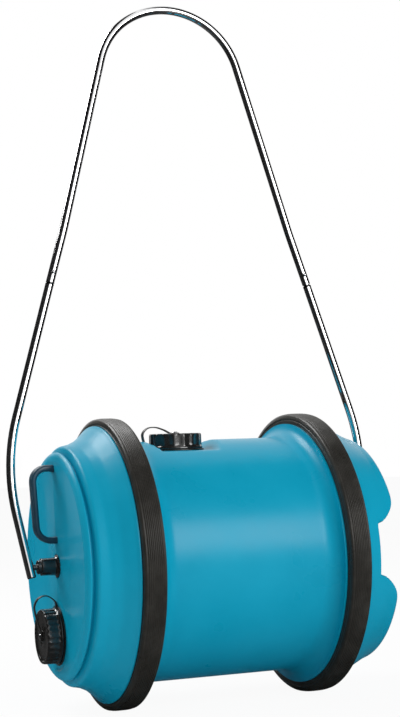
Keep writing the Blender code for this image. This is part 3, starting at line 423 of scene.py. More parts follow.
# The hollow inside, which leaves a wall under the saddle and round the two sockets.
cavity_rows = [(0, 0.1835), (0.150, 0.1835), (0.163, 0.178), (0.169, 0.165),
               (0.167, 0.106), (0.167, -0.106), (0.169, -0.165), (0.180, -0.170), (0.172, -0.186),
               (0.1535, -0.2125), (0.1415, -0.2245), (0.100, -0.2215), (0, -0.2190)]
cavity = piece("hollow", turned_mesh("hollow", dense(cavity_rows, 0.02), 96), to_axis)
saddle_wall = bpy.data.meshes.new("saddle_wall")
shape = bmesh.new()
above_saddle = barrel_place @ Matrix.Translation((saddle_middle, 0,
                                                  saddle_height - wall + saddle_block[2] / 2))
bmesh.ops.create_cube(shape, size=1.0, matrix=above_saddle @ Matrix.Diagonal((*saddle_block, 1)))
shape.to_mesh(saddle_wall)
shape.free()
hub_left = barrel_place @ Matrix.Translation((-end_centre, 0, 0)) @ facing_minus_x
hub_right = barrel_place @ Matrix.Translation((base_seat, 0, 0)) @ facing_x
socket_rows = [(0, 0.01), (socket_wall_radius, 0.01), (socket_wall_radius, -socket_wall_depth),
               (0, -socket_wall_depth)]
fuse(cavity, [piece("saddle_wall", saddle_wall),
              piece("left_socket_wall", turned_mesh("socket_wall", socket_rows, 48), hub_left),
              piece("right_socket_wall", turned_mesh("socket_wall", socket_rows, 48), hub_right)],
     "DIFFERENCE")


def neck_tool(name, frame_matrix):
    # A neck's plain tube with a rolled lip.
    rows = rounded([(0, -neck_sunk, 0), (neck_radius + neck_foot, -neck_sunk, 0),
                    (neck_radius + neck_foot, 0.0020, 0.0004), (neck_radius, 0.0030, 0.0006),
                    (neck_radius, neck_height, 0.0006), (0, neck_height, 0)])
    return piece(name, turned_mesh(name, rows, 120), frame_matrix)


def bore_tool(name, radius, low, high, frame_matrix, steps=96):
    rows = [(0, high), (radius, high), (radius, low), (0, low)]
    return piece(name, turned_mesh(name, rows, steps), frame_matrix)


fuse(barrel_shell, [neck_tool("filler_neck_tube", filler_frame),
                    neck_tool("outlet_neck_tube", outlet_frame)], "UNION")
fuse(barrel_shell, [cavity, bore_tool("filler_bore", neck_bore, -0.02, 0.03, filler_frame),
                    bore_tool("outlet_bore", neck_bore, -0.02, 0.03, outlet_frame),
                    bore_tool("left_socket", socket_radius, -socket_depth, 0.01, hub_left, 48),
                    bore_tool("right_socket", socket_radius, -socket_depth, 0.01, hub_right, 48)],
     "DIFFERENCE")


def thread_tree():
    # A screw thread: a small ridge swept along a helix. Its turns, radius and rise are inputs.
    tree = bpy.data.node_groups.new("neck_thread", "GeometryNodeTree")
    tree.interface.new_socket("Geometry", in_out="INPUT", socket_type="NodeSocketGeometry")
    sizes = {}
    for label, value in (("Turns", 2.2), ("Radius", 0.0286), ("Rise", 0.0090), ("Ridge", 0.00085)):
        socket = tree.interface.new_socket(label, in_out="INPUT", socket_type="NodeSocketFloat")
        socket.default_value = value
        sizes[label] = socket.identifier
    finish = tree.interface.new_socket("Finish", in_out="INPUT", socket_type="NodeSocketMaterial")
    sizes["Finish"] = finish.identifier
    tree.interface.new_socket("Geometry", in_out="OUTPUT", socket_type="NodeSocketGeometry")
    inside, outside = tree.nodes.new("NodeGroupInput"), tree.nodes.new("NodeGroupOutput")
    helix = tree.nodes.new("GeometryNodeCurveSpiral")
    helix.inputs["Resolution"].default_value = 64
    ring = tree.nodes.new("GeometryNodeCurvePrimitiveCircle")
    ring.inputs["Resolution"].default_value = 8
    sweep = tree.nodes.new("GeometryNodeCurveToMesh")
    sweep.inputs["Fill Caps"].default_value = True
    lift = tree.nodes.new("GeometryNodeTransform")
    lift.inputs["Translation"].default_value = (0, 0, 0.0062)
    real = tree.nodes.new("GeometryNodeRealizeInstances")
    paint = tree.nodes.new("GeometryNodeSetMaterial")
    tree.links.new(inside.outputs["Turns"], helix.inputs["Rotations"])
    tree.links.new(inside.outputs["Radius"], helix.inputs["Start Radius"])
    tree.links.new(inside.outputs["Radius"], helix.inputs["End Radius"])
    tree.links.new(inside.outputs["Rise"], helix.inputs["Height"])
    tree.links.new(inside.outputs["Ridge"], ring.inputs["Radius"])
    tree.links.new(helix.outputs["Curve"], sweep.inputs["Curve"])
    tree.links.new(ring.outputs["Curve"], sweep.inputs["Profile Curve"])
    tree.links.new(sweep.outputs["Mesh"], lift.inputs["Geometry"])
    tree.links.new(lift.outputs["Geometry"], real.inputs["Geometry"])
    tree.links.new(real.outputs["Geometry"], paint.inputs["Geometry"])
    tree.links.new(inside.outputs["Finish"], paint.inputs["Material"])
    tree.links.new(paint.outputs["Geometry"], outside.inputs["Geometry"])
    return tree, sizes


def new_finish(name, colour, roughness, metallic=0.0):
    # A material with its shader, its tree and the object's own coordinates, ready for its detail.
    made = bpy.data.materials.new(name)
    made.use_nodes = True
    tree = made.node_tree
    shader = tree.nodes["Principled BSDF"]
    shader.inputs["Base Color"].default_value = (*colour, 1)
    shader.inputs["Roughness"].default_value = roughness
    shader.inputs["Metallic"].default_value = metallic
    place = tree.nodes.new("ShaderNodeTexCoord")
    return made, tree, shader, place.outputs["Object"]


def noise(tree, place, scale, detail=3.0, roughness=0.5):
    node = tree.nodes.new("ShaderNodeTexNoise")
    node.inputs["Scale"].default_value = scale
    node.inputs["Detail"].default_value = detail
    node.inputs["Roughness"].default_value = roughness
    tree.links.new(place, node.inputs["Vector"])
    return node.outputs["Fac"]


def spread(tree, value, low, high, to_low, to_high):
    # A value between low and high, stretched to another span.
    node = tree.nodes.new("ShaderNodeMapRange")
    for label, number in (("From Min", low), ("From Max", high), ("To Min", to_low), ("To Max", to_high)):
        node.inputs[label].default_value = number
    tree.links.new(value, node.inputs["Value"])
    return node.outputs["Result"]


def mixed(tree, share, one, other):
    # Two colours mixed by a share between 0 and 1.
    node = tree.nodes.new("ShaderNodeMix")
    node.data_type = "RGBA"
    for socket, value in (("A", one), ("B", other)):
        entry = [s for s in node.inputs if s.name == socket and s.type == "RGBA"][0]
        if isinstance(value, tuple):
            entry.default_value = (*value, 1)
        else:
            tree.links.new(value, entry)
    tree.links.new(share, node.inputs["Factor"])
    return [s for s in node.outputs if s.type == "RGBA"][0]


def bumped(tree, value, strength, distance, under=None):
    node = tree.nodes.new("ShaderNodeBump")
    node.inputs["Strength"].default_value = strength
    node.inputs["Distance"].default_value = distance
    tree.links.new(value, node.inputs["Height"])
    if under is not None:
        tree.links.new(under, node.inputs["Normal"])
    return node.outputs["Normal"]


blue_plastic, tree, shader, place = new_finish("barrel_blue", (0.002, 0.330, 0.500), 0.34)
cloudy = noise(tree, place, 9.0, 4.0, 0.6)
tint = mixed(tree, spread(tree, cloudy, 0.3, 0.7, 0.0, 1.0), (0.001, 0.312, 0.475), (0.003, 0.345, 0.520))
grime = noise(tree, place, 60.0, 8.0, 0.72)
tint = mixed(tree, spread(tree, grime, 0.68, 0.82, 0.0, 0.20), tint, (0.06, 0.37, 0.50))
tree.links.new(tint, shader.inputs["Base Color"])
tree.links.new(spread(tree, cloudy, 0.3, 0.7, 0.25, 0.35), shader.inputs["Roughness"])
skin = bumped(tree, noise(tree, place, 520.0, 2.0), 0.10, 0.0006)
tree.links.new(bumped(tree, noise(tree, place, 16.0, 2.0), 0.10, 0.004, skin), shader.inputs["Normal"])
shader.inputs["Specular IOR Level"].default_value = 0.18
coat(barrel_shell, blue_plastic)
smooth(barrel_shell, 30)

thread_maker, thread_inputs = thread_tree()
for name, frame_matrix in (("filler_thread", filler_frame), ("outlet_thread", outlet_frame)):
    thread = link_in(bpy.data.objects.new(name, bpy.data.meshes.new(name)))
    growth = thread.modifiers.new("thread", "NODES")
    growth.node_group = thread_maker
    growth[thread_inputs["Finish"]] = blue_plastic
    bake(thread)
    thread.data.transform(frame_matrix)
    smooth(thread, 50)
    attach(thread, "barrel")
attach(barrel_shell, "barrel")
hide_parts("barrel")


# The tyres: two solid black rubber hoops stretched into their seats, with fine ribs round the tread,
# rounded shoulders and a raised bead on each side wall.
tyre_radius, tyre_inner, tyre_half, tyre_x = 0.205, 0.1723, 0.016, 0.149
rib_pitch, rib_depth, rib_band, rib_steps, crown_drop = 0.0025, 0.00075, 0.0125, 6, 0.0009
tread = []
for i in range(int(2 * rib_band / rib_pitch * rib_steps) + 1):
    x = rib_band - i * rib_pitch / rib_steps
    crown = tyre_radius - crown_drop * (x / rib_band) ** 4
    tread.append((crown - rib_depth * (0.5 - 0.5 * math.cos(2 * math.pi * x / rib_pitch)) ** 0.7, x))
tyre_side = rounded([(tyre_inner, 0, 0), (tyre_inner, tyre_half, 0.0006), (0.1950, tyre_half, 0.0004),
                     (0.1955, tyre_half - 0.0006, 0.0003), (0.1965, tyre_half - 0.0006, 0.0003),
                     (0.1970, tyre_half, 0.0004), (0.1985, tyre_half, 0.0020),
                     (0.2018, tyre_half - 0.0012, 0.0020), (0.2040, rib_band + 0.0008, 0)])
tyre_rows = tyre_side[1:] + tread + [(r, -x) for r, x in reversed(tyre_side[1:])]
rubber, tree, shader, place = new_finish("tyre_rubber", (0.036, 0.034, 0.029), 0.5)
shader.inputs["Specular IOR Level"].default_value = 0.30
dust = noise(tree, place, 38.0, 6.0, 0.65)
dusty = mixed(tree, spread(tree, dust, 0.45, 0.85, 0.0, 0.45), (0.026, 0.0245, 0.021), (0.085, 0.080, 0.070))
tree.links.new(dusty, shader.inputs["Base Color"])
tree.links.new(spread(tree, dust, 0.3, 0.8, 0.26, 0.44), shader.inputs["Roughness"])
tree.links.new(bumped(tree, noise(tree, place, 900.0, 3.0), 0.25, 0.0004), shader.inputs["Normal"])
for name, where in (("left_tyre", -1), ("right_tyre", 1)):
    hoop = piece(f"{name}_hoop", turned_mesh(f"{name}_hoop", tyre_rows, 224, closed=True),
                 barrel_place @ Matrix.Translation((where * tyre_x, 0, 0)) @ facing_x)
    coat(hoop, rubber)
    smooth(hoop, 60)
    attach(hoop, "barrel")
    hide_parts(name)


# The screw caps: glossy black mouldings that hang over the necks. The filler's grip is scalloped and the
# outlet's is finely ribbed; both have a flared skirt, a dished face with a raised rim and a centre boss.
finger_hollows, hollow_depth, grip_ribs, grip_rib_depth = 16, 0.0014, 30, 0.0008
cap_rows = [(0, 0.0216), (0.0023, 0.0216), (0.0023, 0.0231), (0.0027, 0.0235), (0.0079, 0.0235),
            (0.0085, 0.0230), (0.0088, 0.0223), (0.0094, 0.0220), (0.0210, 0.0220), (0.0310, 0.0220),
            (0.0322, 0.0223),
            (0.0330, 0.0231), (0.0337, 0.0241), (0.0346, 0.0245), (0.0357, 0.0245), (0.0369, 0.0241),
            (0.0377, 0.0231), (0.0380, 0.0212), (0.0380, 0.0180), (0.0381, 0.0150), (0.0381, 0.0120),
            (0.0382, 0.0095), (0.0383, 0.0076), (0.0384, 0.0066), (0.0387, 0.0058), (0.0391, 0.0052),
            (0.0394, 0.0044), (0.0394, 0.0026), (0.0392, 0.0024), (0.0303, 0.0024), (0.0300, 0.0028),
            (0.0300, 0.0060), (0.0300, 0.0194), (0.0298, 0.0196), (0, 0.0196)]
grip_share = {15: 0.0, 16: 0.7, 17: 1.0, 18: 1.0, 19: 1.0, 20: 1.0, 21: 1.0, 22: 0.9, 23: 0.4}


def scallops(angles, row):
    # Sixteen wide finger hollows with rounded crests between them.
    return -hollow_depth * grip_share.get(row, 0) * (0.5 - 0.5 * np.cos(finger_hollows * angles)) ** 0.8


def fine_ribs(angles, row):
    # Thirty narrow grip ribs.
    return -grip_rib_depth * grip_share.get(row, 0) * (0.5 - 0.5 * np.cos(grip_ribs * angles)) ** 0.6


black_plastic, tree, shader, place = new_finish("cap_black", (0.012, 0.0115, 0.011), 0.20)
flow = noise(tree, place, 45.0, 5.0, 0.6)
handled = mixed(tree, spread(tree, flow, 0.4, 0.8, 0.0, 0.5), (0.013, 0.0125, 0.012), (0.032, 0.031, 0.029))
tree.links.new(handled, shader.inputs["Base Color"])
tree.links.new(spread(tree, flow, 0.3, 0.8, 0.12, 0.28), shader.inputs["Roughness"])
shader.inputs["Specular IOR Level"].default_value = 0.8
tree.links.new(bumped(tree, noise(tree, place, 700.0, 2.0), 0.12, 0.0003), shader.inputs["Normal"])
for name, frame_matrix, wave in (("filler", filler_frame, scallops), ("outlet", outlet_frame, fine_ribs)):
    cap = piece(f"{name}_cap_moulding",
                turned_mesh(f"{name}_cap_moulding", cap_rows, 480, wave), frame_matrix)
    coat(cap, black_plastic)
    smooth(cap, 48)
    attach(cap, f"{name}_screw")
    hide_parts(f"{name}_cap")

# The seals: flat rubber gaskets, cut from sheet and pressed in under the caps' ceilings. They can't be
# seen until a cap comes off.
gasket, tree, shader, place = new_finish("gasket_rubber", (0.022, 0.021, 0.020), 0.7)
tree.links.new(bumped(tree, noise(tree, place, 600.0, 3.0), 0.3, 0.0003), shader.inputs["Normal"])
tree.links.new(spread(tree, noise(tree, place, 80.0), 0.3, 0.7, 0.6, 0.8), shader.inputs["Roughness"])
for name in ("filler_seal", "outlet_seal"):
    coat(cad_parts[name], gasket)


# The retaining straps: soft black mouldings with a collar that stays round the neck, a thin band that
# arches over the cap and an eye that a stud holds on the cap's centre boss.
strap_half_thickness, filler_half_width, outlet_half_width = 0.0009, 0.0054, 0.0042
filler_route = [(-0.0395, 0.0012), (-0.0450, 0.0030), (-0.0479, 0.0115), (-0.0500, 0.0245), (-0.0425, 0.0328),
                (-0.0304, 0.0340), (-0.0180, 0.0302), (-0.0090, 0.0255), (-0.0045, 0.0247)]
outlet_route = [(-0.0395, 0.0012), (-0.0485, 0.0040), (-0.0562, 0.0155), (-0.0535, 0.0270), (-0.0434, 0.0330),
                (-0.0335, 0.0323), (-0.0175, 0.0283), (-0.0090, 0.0255), (-0.0045, 0.0247)]


def through(knots, steps=10):
    # A smooth line through the knots.
    spots = [Vector(k) for k in knots]
    spots = [spots[0] * 2 - spots[1]] + spots + [spots[-1] * 2 - spots[-2]]
    path = []
    for i in range(1, len(spots) - 2):
        a, b, c, d = spots[i - 1:i + 3]
        for k in range(steps):
            t = k / steps
            path.append((b * 2 + (c - a) * t + (a * 2 - b * 5 + c * 4 - d) * t ** 2
                         + (b * 3 - a - c * 3 + d) * t ** 3) / 2)
    return path + [spots[-2]]


def band_mesh(name, route, half_width):
    # A flat band with rounded edges along a route in the local XZ plane, a little narrower mid-way.
    path = through(route)
    points, faces = [], []
    ring = [(math.cos(a), math.sin(a)) for a in (math.radians(15 + 30 * i) for i in range(12))]
    for i, spot in enumerate(path):
        before, after = path[max(0, i - 1)], path[min(len(path) - 1, i + 1)]
        ahead = (after - before).normalized()
        out = Vector((-ahead.y, ahead.x))
        width = half_width * (1 - 0.14 * math.sin(math.pi * i / (len(path) - 1)))
        for c, s in ring:
            flat = math.copysign(abs(c) ** 0.35, c) * width
            thick = math.copysign(abs(s) ** 0.6, s) * strap_half_thickness
            points.append((spot.x + out.x * thick, flat, spot.y + out.y * thick))
    for i in range(len(path) - 1):
        for k in range(12):
            n = (k + 1) % 12
            faces.append((i * 12 + k, i * 12 + n, i * 12 + 12 + n, i * 12 + 12 + k))
    faces += [tuple(range(12)), tuple(range(len(points) - 12, len(points)))]
    mesh = bpy.data.meshes.new(name)
    mesh.from_pydata(points, [], faces)
    outward(mesh)
    return mesh


soft_black, tree, shader, place = new_finish("strap_black", (0.013, 0.0125, 0.012), 0.3)
flow = noise(tree, place, 70.0, 4.0)
tree.links.new(mixed(tree, flow, (0.011, 0.0105, 0.010), (0.022, 0.021, 0.020)), shader.inputs["Base Color"])
tree.links.new(spread(tree, flow, 0.3, 0.7, 0.24, 0.38), shader.inputs["Roughness"])
tree.links.new(bumped(tree, noise(tree, place, 800.0, 2.0), 0.15, 0.0003), shader.inputs["Normal"])
for name, frame_matrix, route, half_width in (("filler", filler_frame, filler_route, filler_half_width),
                                              ("outlet", outlet_frame, outlet_route, outlet_half_width)):
    collar_rows = rounded([(0.0300, 0.0003, 0.0003), (0.0415, 0.0003, 0.0004), (0.0415, 0.0021, 0.0006),
                           (0.0300, 0.0021, 0.0004), (0.0300, 0.0003, 0.0003)])[1:]
    strap = piece(f"{name}_strap_moulding", turned_mesh("collar", collar_rows, 120, closed=True))
    band = piece("band", band_mesh("band", route, half_width))
    eye_rows = rounded([(0, 0.0238, 0), (0.0065, 0.0238, 0.0004), (0.0065, 0.0256, 0.0005), (0, 0.0256, 0)])
    eye = piece("eye", turned_mesh("eye", eye_rows, 48))
    fuse(strap, [band, eye], "UNION")
    fuse(strap, [bore_tool("stud_hole", 0.0023, 0.0220, 0.028, None, 32)], "DIFFERENCE")
    strap.data.transform(frame_matrix)
    coat(strap, soft_black)
    smooth(strap, 40)
    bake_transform(strap)
    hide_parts(f"{name}_strap")

# The studs: small domed steel pins, turned from rod. Each rivets a strap's eye to its cap, loosely
# enough for the cap to turn under it.
stud_steel, tree, shader, place = new_finish("stud_steel", (0.62, 0.62, 0.63), 0.2, 1.0)
tree.links.new(spread(tree, noise(tree, place, 300.0, 4.0), 0.3, 0.7, 0.12, 0.30), shader.inputs["Roughness"])
tree.links.new(bumped(tree, noise(tree, place, 900.0, 2.0), 0.08, 0.0002), shader.inputs["Normal"])
for name, frame_matrix in (("filler", filler_frame), ("outlet", outlet_frame)):
    dome = [(0.0042 * math.sin(a), 0.0259 + 0.0019 * math.cos(a))
            for a in (math.radians(10 * i) for i in range(9))]
    rows = dome + [(0.0042, 0.0261), (0.0041, 0.0259), (0.0020, 0.0259), (0.0020, 0.0221), (0, 0.0219)]
    stud = piece(f"{name}_stud_pin", turned_mesh(f"{name}_stud_pin", rows, 48), frame_matrix)
    coat(stud, stud_steel)
    smooth(stud, 40)
    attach(stud, f"{name}_lift")
    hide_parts(f"{name}_stud")


# The pivot plugs: black stepped plugs pressed into the barrel's ends, each with a flange, a tapered body,
# a ring and a steel-smooth nib that enters the handle's tube.
plug_rows = rounded([(0, 0.0431, 0), (0.0040, 0.0431, 0.0008), (0.0040, 0.0318, 0.0008),
                     (0.0098, 0.0318, 0.0010), (0.0098, 0.0279, 0.0008), (0.0106, 0.0273, 0.0005),
                     (0.0119, 0.0273, 0.0010), (0.0125, 0.0075, 0.0025), (0.0140, 0.0052, 0.0010),
                     (0.0160, 0.0043, 0.0008), (0.0160, 0.0003, 0.0004), (0.0100, 0.0003, 0),
                     (0.0100, -0.0230, 0.0008), (0, -0.0230, 0)])
for name, frame_matrix in (("left_pivot_plug", hub_left), ("right_pivot_plug", hub_right)):
    plug = piece(f"{name}_moulding",
                 turned_mesh(f"{name}_moulding", dense(plug_rows, 0.004), 96), frame_matrix)
    coat(plug, black_plastic)
    smooth(plug, 40)
    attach(plug, "barrel")
    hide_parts(name)


# The handle: 12.7 mm bright steel tube. Two bent legs hook on the pivot nibs, and a bow slides over
# their swaged tops; a sprung button in each joint locks it.
tube_radius, tube_bore, tube_sides = 0.00635, 0.0052, 32
pivot_x, knee, knee_bend, leg_below = 0.2522, (0.28115, 0.1442), 0.277, 0.013
joint, joint_gap, button_height, button_hole, nib_hole = (0.2039, 0.402), 0.002, 0.017, 0.0028, 0.0041
spigot_length, spigot_radius, spigot_bore = 0.045, 0.0049, 0.0036
bow_bend, bow_bend_radius, bow_top, crown_radius = Vector((0.1791, 0.4836)), 0.40, 0.8269, 0.113
lean = math.radians(4.65)
seam_core, seam_edge = 0.0012, 0.0026
handle_plane = Matrix.Translation((0, 0, axis_height)) @ Matrix.Rotation(-lean, 4, "X")
face_front = Matrix.Rotation(math.radians(90), 4, "X")


def bent(start, bends, end, turn_step=math.radians(2.5), gap=0.012):
    # Straight runs joined by bends, as closely spaced points.
    corners = [(*start, 0)] + [(*corner, radius) for corner, radius in bends] + [(*end, 0)]
    return dense(rounded(corners, turn_step), gap)


def weld(mesh, distance):
    # Joins the doubled points that a curve's caps leave, and turns the faces outward.
    shape = bmesh.new()
    shape.from_mesh(mesh)
    bmesh.ops.remove_doubles(shape, verts=shape.verts, dist=distance)
    bmesh.ops.recalc_face_normals(shape, faces=shape.faces)
    shape.to_mesh(mesh)
    shape.free()


def tube_tree():
    # A round tube swept along a drawn line. Its radius and number of sides are inputs.
    tree = bpy.data.node_groups.new("swept_tube", "GeometryNodeTree")
    tree.interface.new_socket("Line", in_out="INPUT", socket_type="NodeSocketGeometry")
    radius = tree.interface.new_socket("Tube Radius", in_out="INPUT", socket_type="NodeSocketFloat")
    sides = tree.interface.new_socket("Sides", in_out="INPUT", socket_type="NodeSocketInt")
    finish = tree.interface.new_socket("Finish", in_out="INPUT", socket_type="NodeSocketMaterial")
    tree.interface.new_socket("Tube", in_out="OUTPUT", socket_type="NodeSocketGeometry")
    inside, outside = tree.nodes.new("NodeGroupInput"), tree.nodes.new("NodeGroupOutput")
    curve = tree.nodes.new("GeometryNodeMeshToCurve")
    ring = tree.nodes.new("GeometryNodeCurvePrimitiveCircle")
    sweep = tree.nodes.new("GeometryNodeCurveToMesh")
    sweep.inputs["Fill Caps"].default_value = True
    real = tree.nodes.new("GeometryNodeRealizeInstances")
    paint = tree.nodes.new("GeometryNodeSetMaterial")
    tree.links.new(inside.outputs["Line"], curve.inputs["Mesh"])
    tree.links.new(inside.outputs["Tube Radius"], ring.inputs["Radius"])
    tree.links.new(inside.outputs["Sides"], ring.inputs["Resolution"])
    tree.links.new(curve.outputs["Curve"], sweep.inputs["Curve"])
    tree.links.new(ring.outputs["Curve"], sweep.inputs["Profile Curve"])
    tree.links.new(sweep.outputs["Mesh"], real.inputs["Geometry"])
    tree.links.new(real.outputs["Geometry"], paint.inputs["Geometry"])
    tree.links.new(inside.outputs["Finish"], paint.inputs["Material"])
    tree.links.new(paint.outputs["Geometry"], outside.inputs["Tube"])
    return tree, radius.identifier, sides.identifier, finish.identifier


bright_steel, tree, shader, place = new_finish("tube_steel", (0.74, 0.74, 0.75), 0.12, 1.0)
draw = noise(tree, place, 150.0, 5.0, 0.6)
tree.links.new(spread(tree, draw, 0.3, 0.75, 0.03, 0.09), shader.inputs["Roughness"])
steel_tint = mixed(tree, spread(tree, noise(tree, place, 35.0, 5.0), 0.45, 0.75, 0.0, 0.6),
                   (0.82, 0.82, 0.83), (0.66, 0.65, 0.64))
# The painted shade where the bow's mouth meets the leg: a dark line at the distance to the joint, measured
# along the tube and mirrored to both sides.
seam_line = Matrix.Rotation(-lean, 3, "X") @ Vector((joint[0] - knee[0], 0, joint[1] - knee[1])).normalized()
seam_place = handle_plane @ Vector((joint[0], 0, joint[1]))
mirrored = tree.nodes.new("ShaderNodeVectorMath")
mirrored.operation = "ABSOLUTE"
aside = tree.nodes.new("ShaderNodeVectorMath")
aside.operation = "SUBTRACT"
aside.inputs[1].default_value = (seam_place.x, 0, seam_place.z + seam_place.y * seam_line.y / seam_line.z)
along_tube = tree.nodes.new("ShaderNodeVectorMath")
along_tube.operation = "DOT_PRODUCT"
along_tube.inputs[1].default_value = (seam_line.x, seam_line.y, seam_line.z)
near_seam = tree.nodes.new("ShaderNodeMath")
near_seam.operation = "ABSOLUTE"
tree.links.new(place, mirrored.inputs[0])
tree.links.new(mirrored.outputs[0], aside.inputs[0])
tree.links.new(aside.outputs[0], along_tube.inputs[0])
tree.links.new(along_tube.outputs["Value"], near_seam.inputs[0])
# Painted shade: the steel's colour goes near black in a band round each joint, standing in for the shade in
# the gap.
painted_seam_shade = spread(tree, near_seam.outputs[0], seam_core, seam_edge, 1.0, 0.0)
tree.links.new(mixed(tree, painted_seam_shade, steel_tint, (0.03, 0.03, 0.03)), shader.inputs["Base Color"])
tree.links.new(bumped(tree, noise(tree, place, 420.0, 3.0), 0.05, 0.0002), shader.inputs["Normal"])
sweep_tree, radius_input, sides_input, finish_input = tube_tree()


def swept(name, path, radius):
    mesh = bpy.data.meshes.new(name)
    mesh.from_pydata([(x, 0, z) for x, z in path], [(i, i + 1) for i in range(len(path) - 1)], [])
    obj = link_in(bpy.data.objects.new(name, mesh))
    growth = obj.modifiers.new("tube", "NODES")
    growth.node_group = sweep_tree
    growth[radius_input], growth[sides_input], growth[finish_input] = radius, tube_sides, bright_steel
    bake(obj)
    weld(obj.data, 1e-6)
    return obj


joint_line = (Vector(joint) - Vector(knee)).normalized()
low_line = (Vector((pivot_x, 0)) - Vector(knee)).normalized()
foot = Vector((pivot_x, 0)) + low_line * leg_below


def at_joint(where, distance):
    # A frame on the joint's line: +Z up the tube, +Y square to the handle's plane.
    point = Vector(joint) + joint_line * distance
    return (Matrix.Translation((where * point.x, 0, point.y))
            @ Matrix.Rotation(where * math.atan2(joint_line.x, joint_line.y), 4, "Y"))


def at_foot(where):
    # A frame at a leg's lower end, with +Z up the tube.
    return (Matrix.Translation((where * foot.x, 0, foot.y))
            @ Matrix.Rotation(math.atan2(where * low_line.x, low_line.y) + math.pi, 4, "Y"))


for name, where in (("left", -1), ("right", 1)):
    path = [(where * x, z) for x, z in bent(tuple(foot), [(knee, knee_bend)], joint)]
    leg = swept(f"{name}_leg_tube", path, tube_radius)
    spigot_rows = rounded([(0, spigot_length, 0), (spigot_radius, spigot_length, 0.0008),
                           (spigot_radius, 0.0011, 0.0004), (0.0058, -0.0011, 0),
                           (0.0058, -0.0043, 0), (0, -0.0043, 0)])
    spigot = piece("spigot", turned_mesh("spigot", spigot_rows, 40), at_joint(where, 0))
    fuse(leg, [spigot], "UNION")
    toward_hub = facing_minus_x if where > 0 else facing_x
    cuts = [bore_tool("spigot_bore", spigot_bore, 0.004, 0.055, at_joint(where, 0), 32),
            bore_tool("button_hole", button_hole, 0.0, 0.02, at_joint(where, button_height) @ face_front, 32),
            bore_tool("foot_bore", tube_bore, -0.006, 0.030, at_foot(where), 32),
            bore_tool("nib_hole", nib_hole, 0.0, 0.012,
                      Matrix.Translation((where * pivot_x, 0, 0)) @ toward_hub, 32)]
    fuse(leg, cuts, "DIFFERENCE")
    leg.data.transform(handle_plane)
    coat(leg, bright_steel)
    smooth(leg, 36)
    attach(leg, "handle")
    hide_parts(f"handle_{name}_leg")

to_crown = Vector((0, bow_top - crown_radius)) - bow_bend
tangent = Matrix.Rotation(-math.asin(crown_radius / to_crown.length), 2) @ to_crown
crown = bow_bend - tangent * (bow_bend.x / tangent.x)
bow_bends = [(tuple(bow_bend), bow_bend_radius), (tuple(crown), crown_radius),
             ((-bow_bend.x, bow_bend.y), bow_bend_radius)]
bow_start = Vector(joint) + joint_line * joint_gap
bow = swept("bow_tube", bent(tuple(bow_start), bow_bends, (-bow_start.x, bow_start.y)), tube_radius)
bow_cuts = []
for where in (-1, 1):
    bow_cuts.append(bore_tool("bow_bore", tube_bore, -0.004, 0.053, at_joint(where, 0), 32))
    bow_cuts.append(bore_tool("bow_button_hole", button_hole, 0.0, 0.02,
                              at_joint(where, button_height) @ face_front, 32))
fuse(bow, bow_cuts, "DIFFERENCE")
bow.data.transform(handle_plane)
coat(bow, bright_steel)
smooth(bow, 36)
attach(bow, "handle")
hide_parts("handle_bow")

# The leg end plugs: small soft black mouldings with a round head, pushed into the open lower ends of
# the legs.
stopper_rows = rounded([(0, -0.0019, 0), (0.0062, -0.0019, 0.0010), (0.0062, -0.0003, 0.0003),
                        (0.0049, -0.0003, 0), (0.0049, 0.008, 0.0005), (0, 0.008, 0)])
for name, where in (("left", -1), ("right", 1)):
    stopper = piece(f"{name}_leg_stopper", turned_mesh(f"{name}_leg_stopper", stopper_rows, 40),
                    handle_plane @ at_foot(where))
    coat(stopper, soft_black)
    smooth(stopper, 40)
    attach(stopper, "handle")
    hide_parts(f"{name}_leg_end_plug")

# The snap buttons and their leaf springs: a domed steel pin goes through each joint, and a bent strip
# of spring steel inside the tube pushes it out.
pin_radius, pin_shoulder, pin_dome, pin_foot = 0.0025, 0.0065, 0.00180, 0.0008
pin_rows = [(pin_radius * math.sin(a), pin_shoulder + pin_dome * math.cos(a))
            for a in (math.radians(9 * i) for i in range(11))]
pin_rows += [(pin_radius, pin_foot), (0, pin_foot)]
for name, where in (("left", -1), ("right", 1)):
    pin = piece(f"{name}_button_pin", turned_mesh(f"{name}_button_pin", pin_rows, 40),
                handle_plane @ at_joint(where, button_height) @ face_front)
    coat(pin, stud_steel)
    smooth(pin, 40)
    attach(pin, f"{name}_button")
    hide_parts(f"{name}_snap_button")
    coat(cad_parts[f"{name}_button_spring"], stud_steel)


# The carry handle: a moulded grip on the ridge above the pivot, a rounded D whose feet follow the dished end
# and are held by two short tangs. Its dark blue is painted shade, a darker copy of the barrel's blue.
grip_low, grip_high, grip_reach, grip_taper = 0.0318, 0.1418, 0.2632, 0.060
grip_bar, grip_limb, grip_thickness, grip_edge = 0.0075, 0.0092, 0.018, 0.0034
grip_corner, finger_corner, grip_clearance = 0.024, 0.015, 0.0003


def arc(centre_x, centre_z, radius, start, end, count=10):
    turns = [math.radians(start + (end - start) * i / count) for i in range(count + 1)]
    return [(centre_x + radius * math.cos(a), centre_z + radius * math.sin(a)) for a in turns]


def loop(left, right, low, high, corner):
    # A rectangle with rounded corners, drawn from its lower right corner round.
    return (arc(right - corner, low + corner, corner, -90, 0)
            + arc(right - corner, high - corner, corner, 0, 90)
            + arc(left + corner, high - corner, corner, 90, 180)
            + arc(left + corner, low + corner, corner, 180, 270))


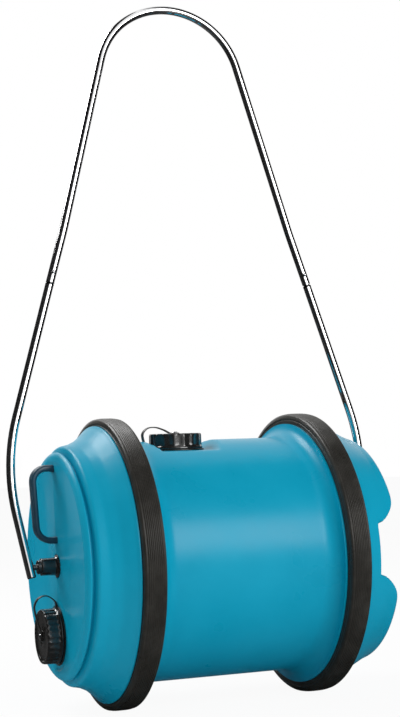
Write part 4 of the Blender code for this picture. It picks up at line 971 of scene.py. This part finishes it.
grip_foot = end_centre - 0.006
curve = bpy.data.curves.new("grip", "CURVE")
curve.dimensions = "2D"
curve.fill_mode = "BOTH"
curve.extrude = grip_thickness / 2 - grip_edge
curve.bevel_depth = grip_edge
curve.bevel_resolution = 4
curve.offset = -grip_edge
for outline in (loop(grip_foot - grip_corner, grip_reach, grip_low, grip_high, grip_corner),
                list(reversed(loop(end_centre - 0.001, grip_reach - grip_bar, grip_low + grip_limb,
                                   grip_high - grip_limb, finger_corner)))):
    line = curve.splines.new("POLY")
    line.points.add(len(outline) - 1)
    line.use_cyclic_u = True
    for point, (x, z) in zip(line.points, outline):
        point.co = (x - grip_taper * (grip_high - z), z, 0, 1)
grip_curve = link_in(bpy.data.objects.new("grip_curve", curve))
bpy.context.view_layer.update()
grip_mesh = bpy.data.meshes.new_from_object(grip_curve.evaluated_get(bpy.context.evaluated_depsgraph_get()))
bpy.data.objects.remove(grip_curve, do_unlink=True)
weld(grip_mesh, 1e-5)
grip = piece("carry_grip", grip_mesh, barrel_place @ half_turn @ face_front)
space_rows = [(0, -0.05), (0.19, -0.05), (0.19, end_face + grip_clearance),
              (end_land, end_face + grip_clearance)]
space_rows += [(r, float(end_dish(r)) + grip_clearance) for r in np.arange(0.144, 0.0, -0.006)]
space_rows += [(0, end_centre + grip_clearance)]
fuse(grip, [piece("end_space", turned_mesh("end_space", space_rows, 96), barrel_place @ facing_minus_x)],
     "DIFFERENCE")
# Painted shade: the grip is given a dark copy of the barrel's blue in place of the shade that falls on it.
shaded_blue_plastic, tree, shader, place = new_finish("grip_painted_shade", (0.010, 0.050, 0.085), 0.34)
flow = noise(tree, place, 55.0, 5.0)
shade = mixed(tree, spread(tree, flow, 0.35, 0.75, 0.0, 1.0), (0.009, 0.042, 0.072), (0.014, 0.062, 0.100))
tree.links.new(shade, shader.inputs["Base Color"])
tree.links.new(spread(tree, flow, 0.3, 0.7, 0.28, 0.42), shader.inputs["Roughness"])
tree.links.new(bumped(tree, noise(tree, place, 650.0, 2.0), 0.2, 0.0004), shader.inputs["Normal"])
coat(grip, shaded_blue_plastic)
smooth(grip, 40)
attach(grip, "barrel")
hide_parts("carry_handle")
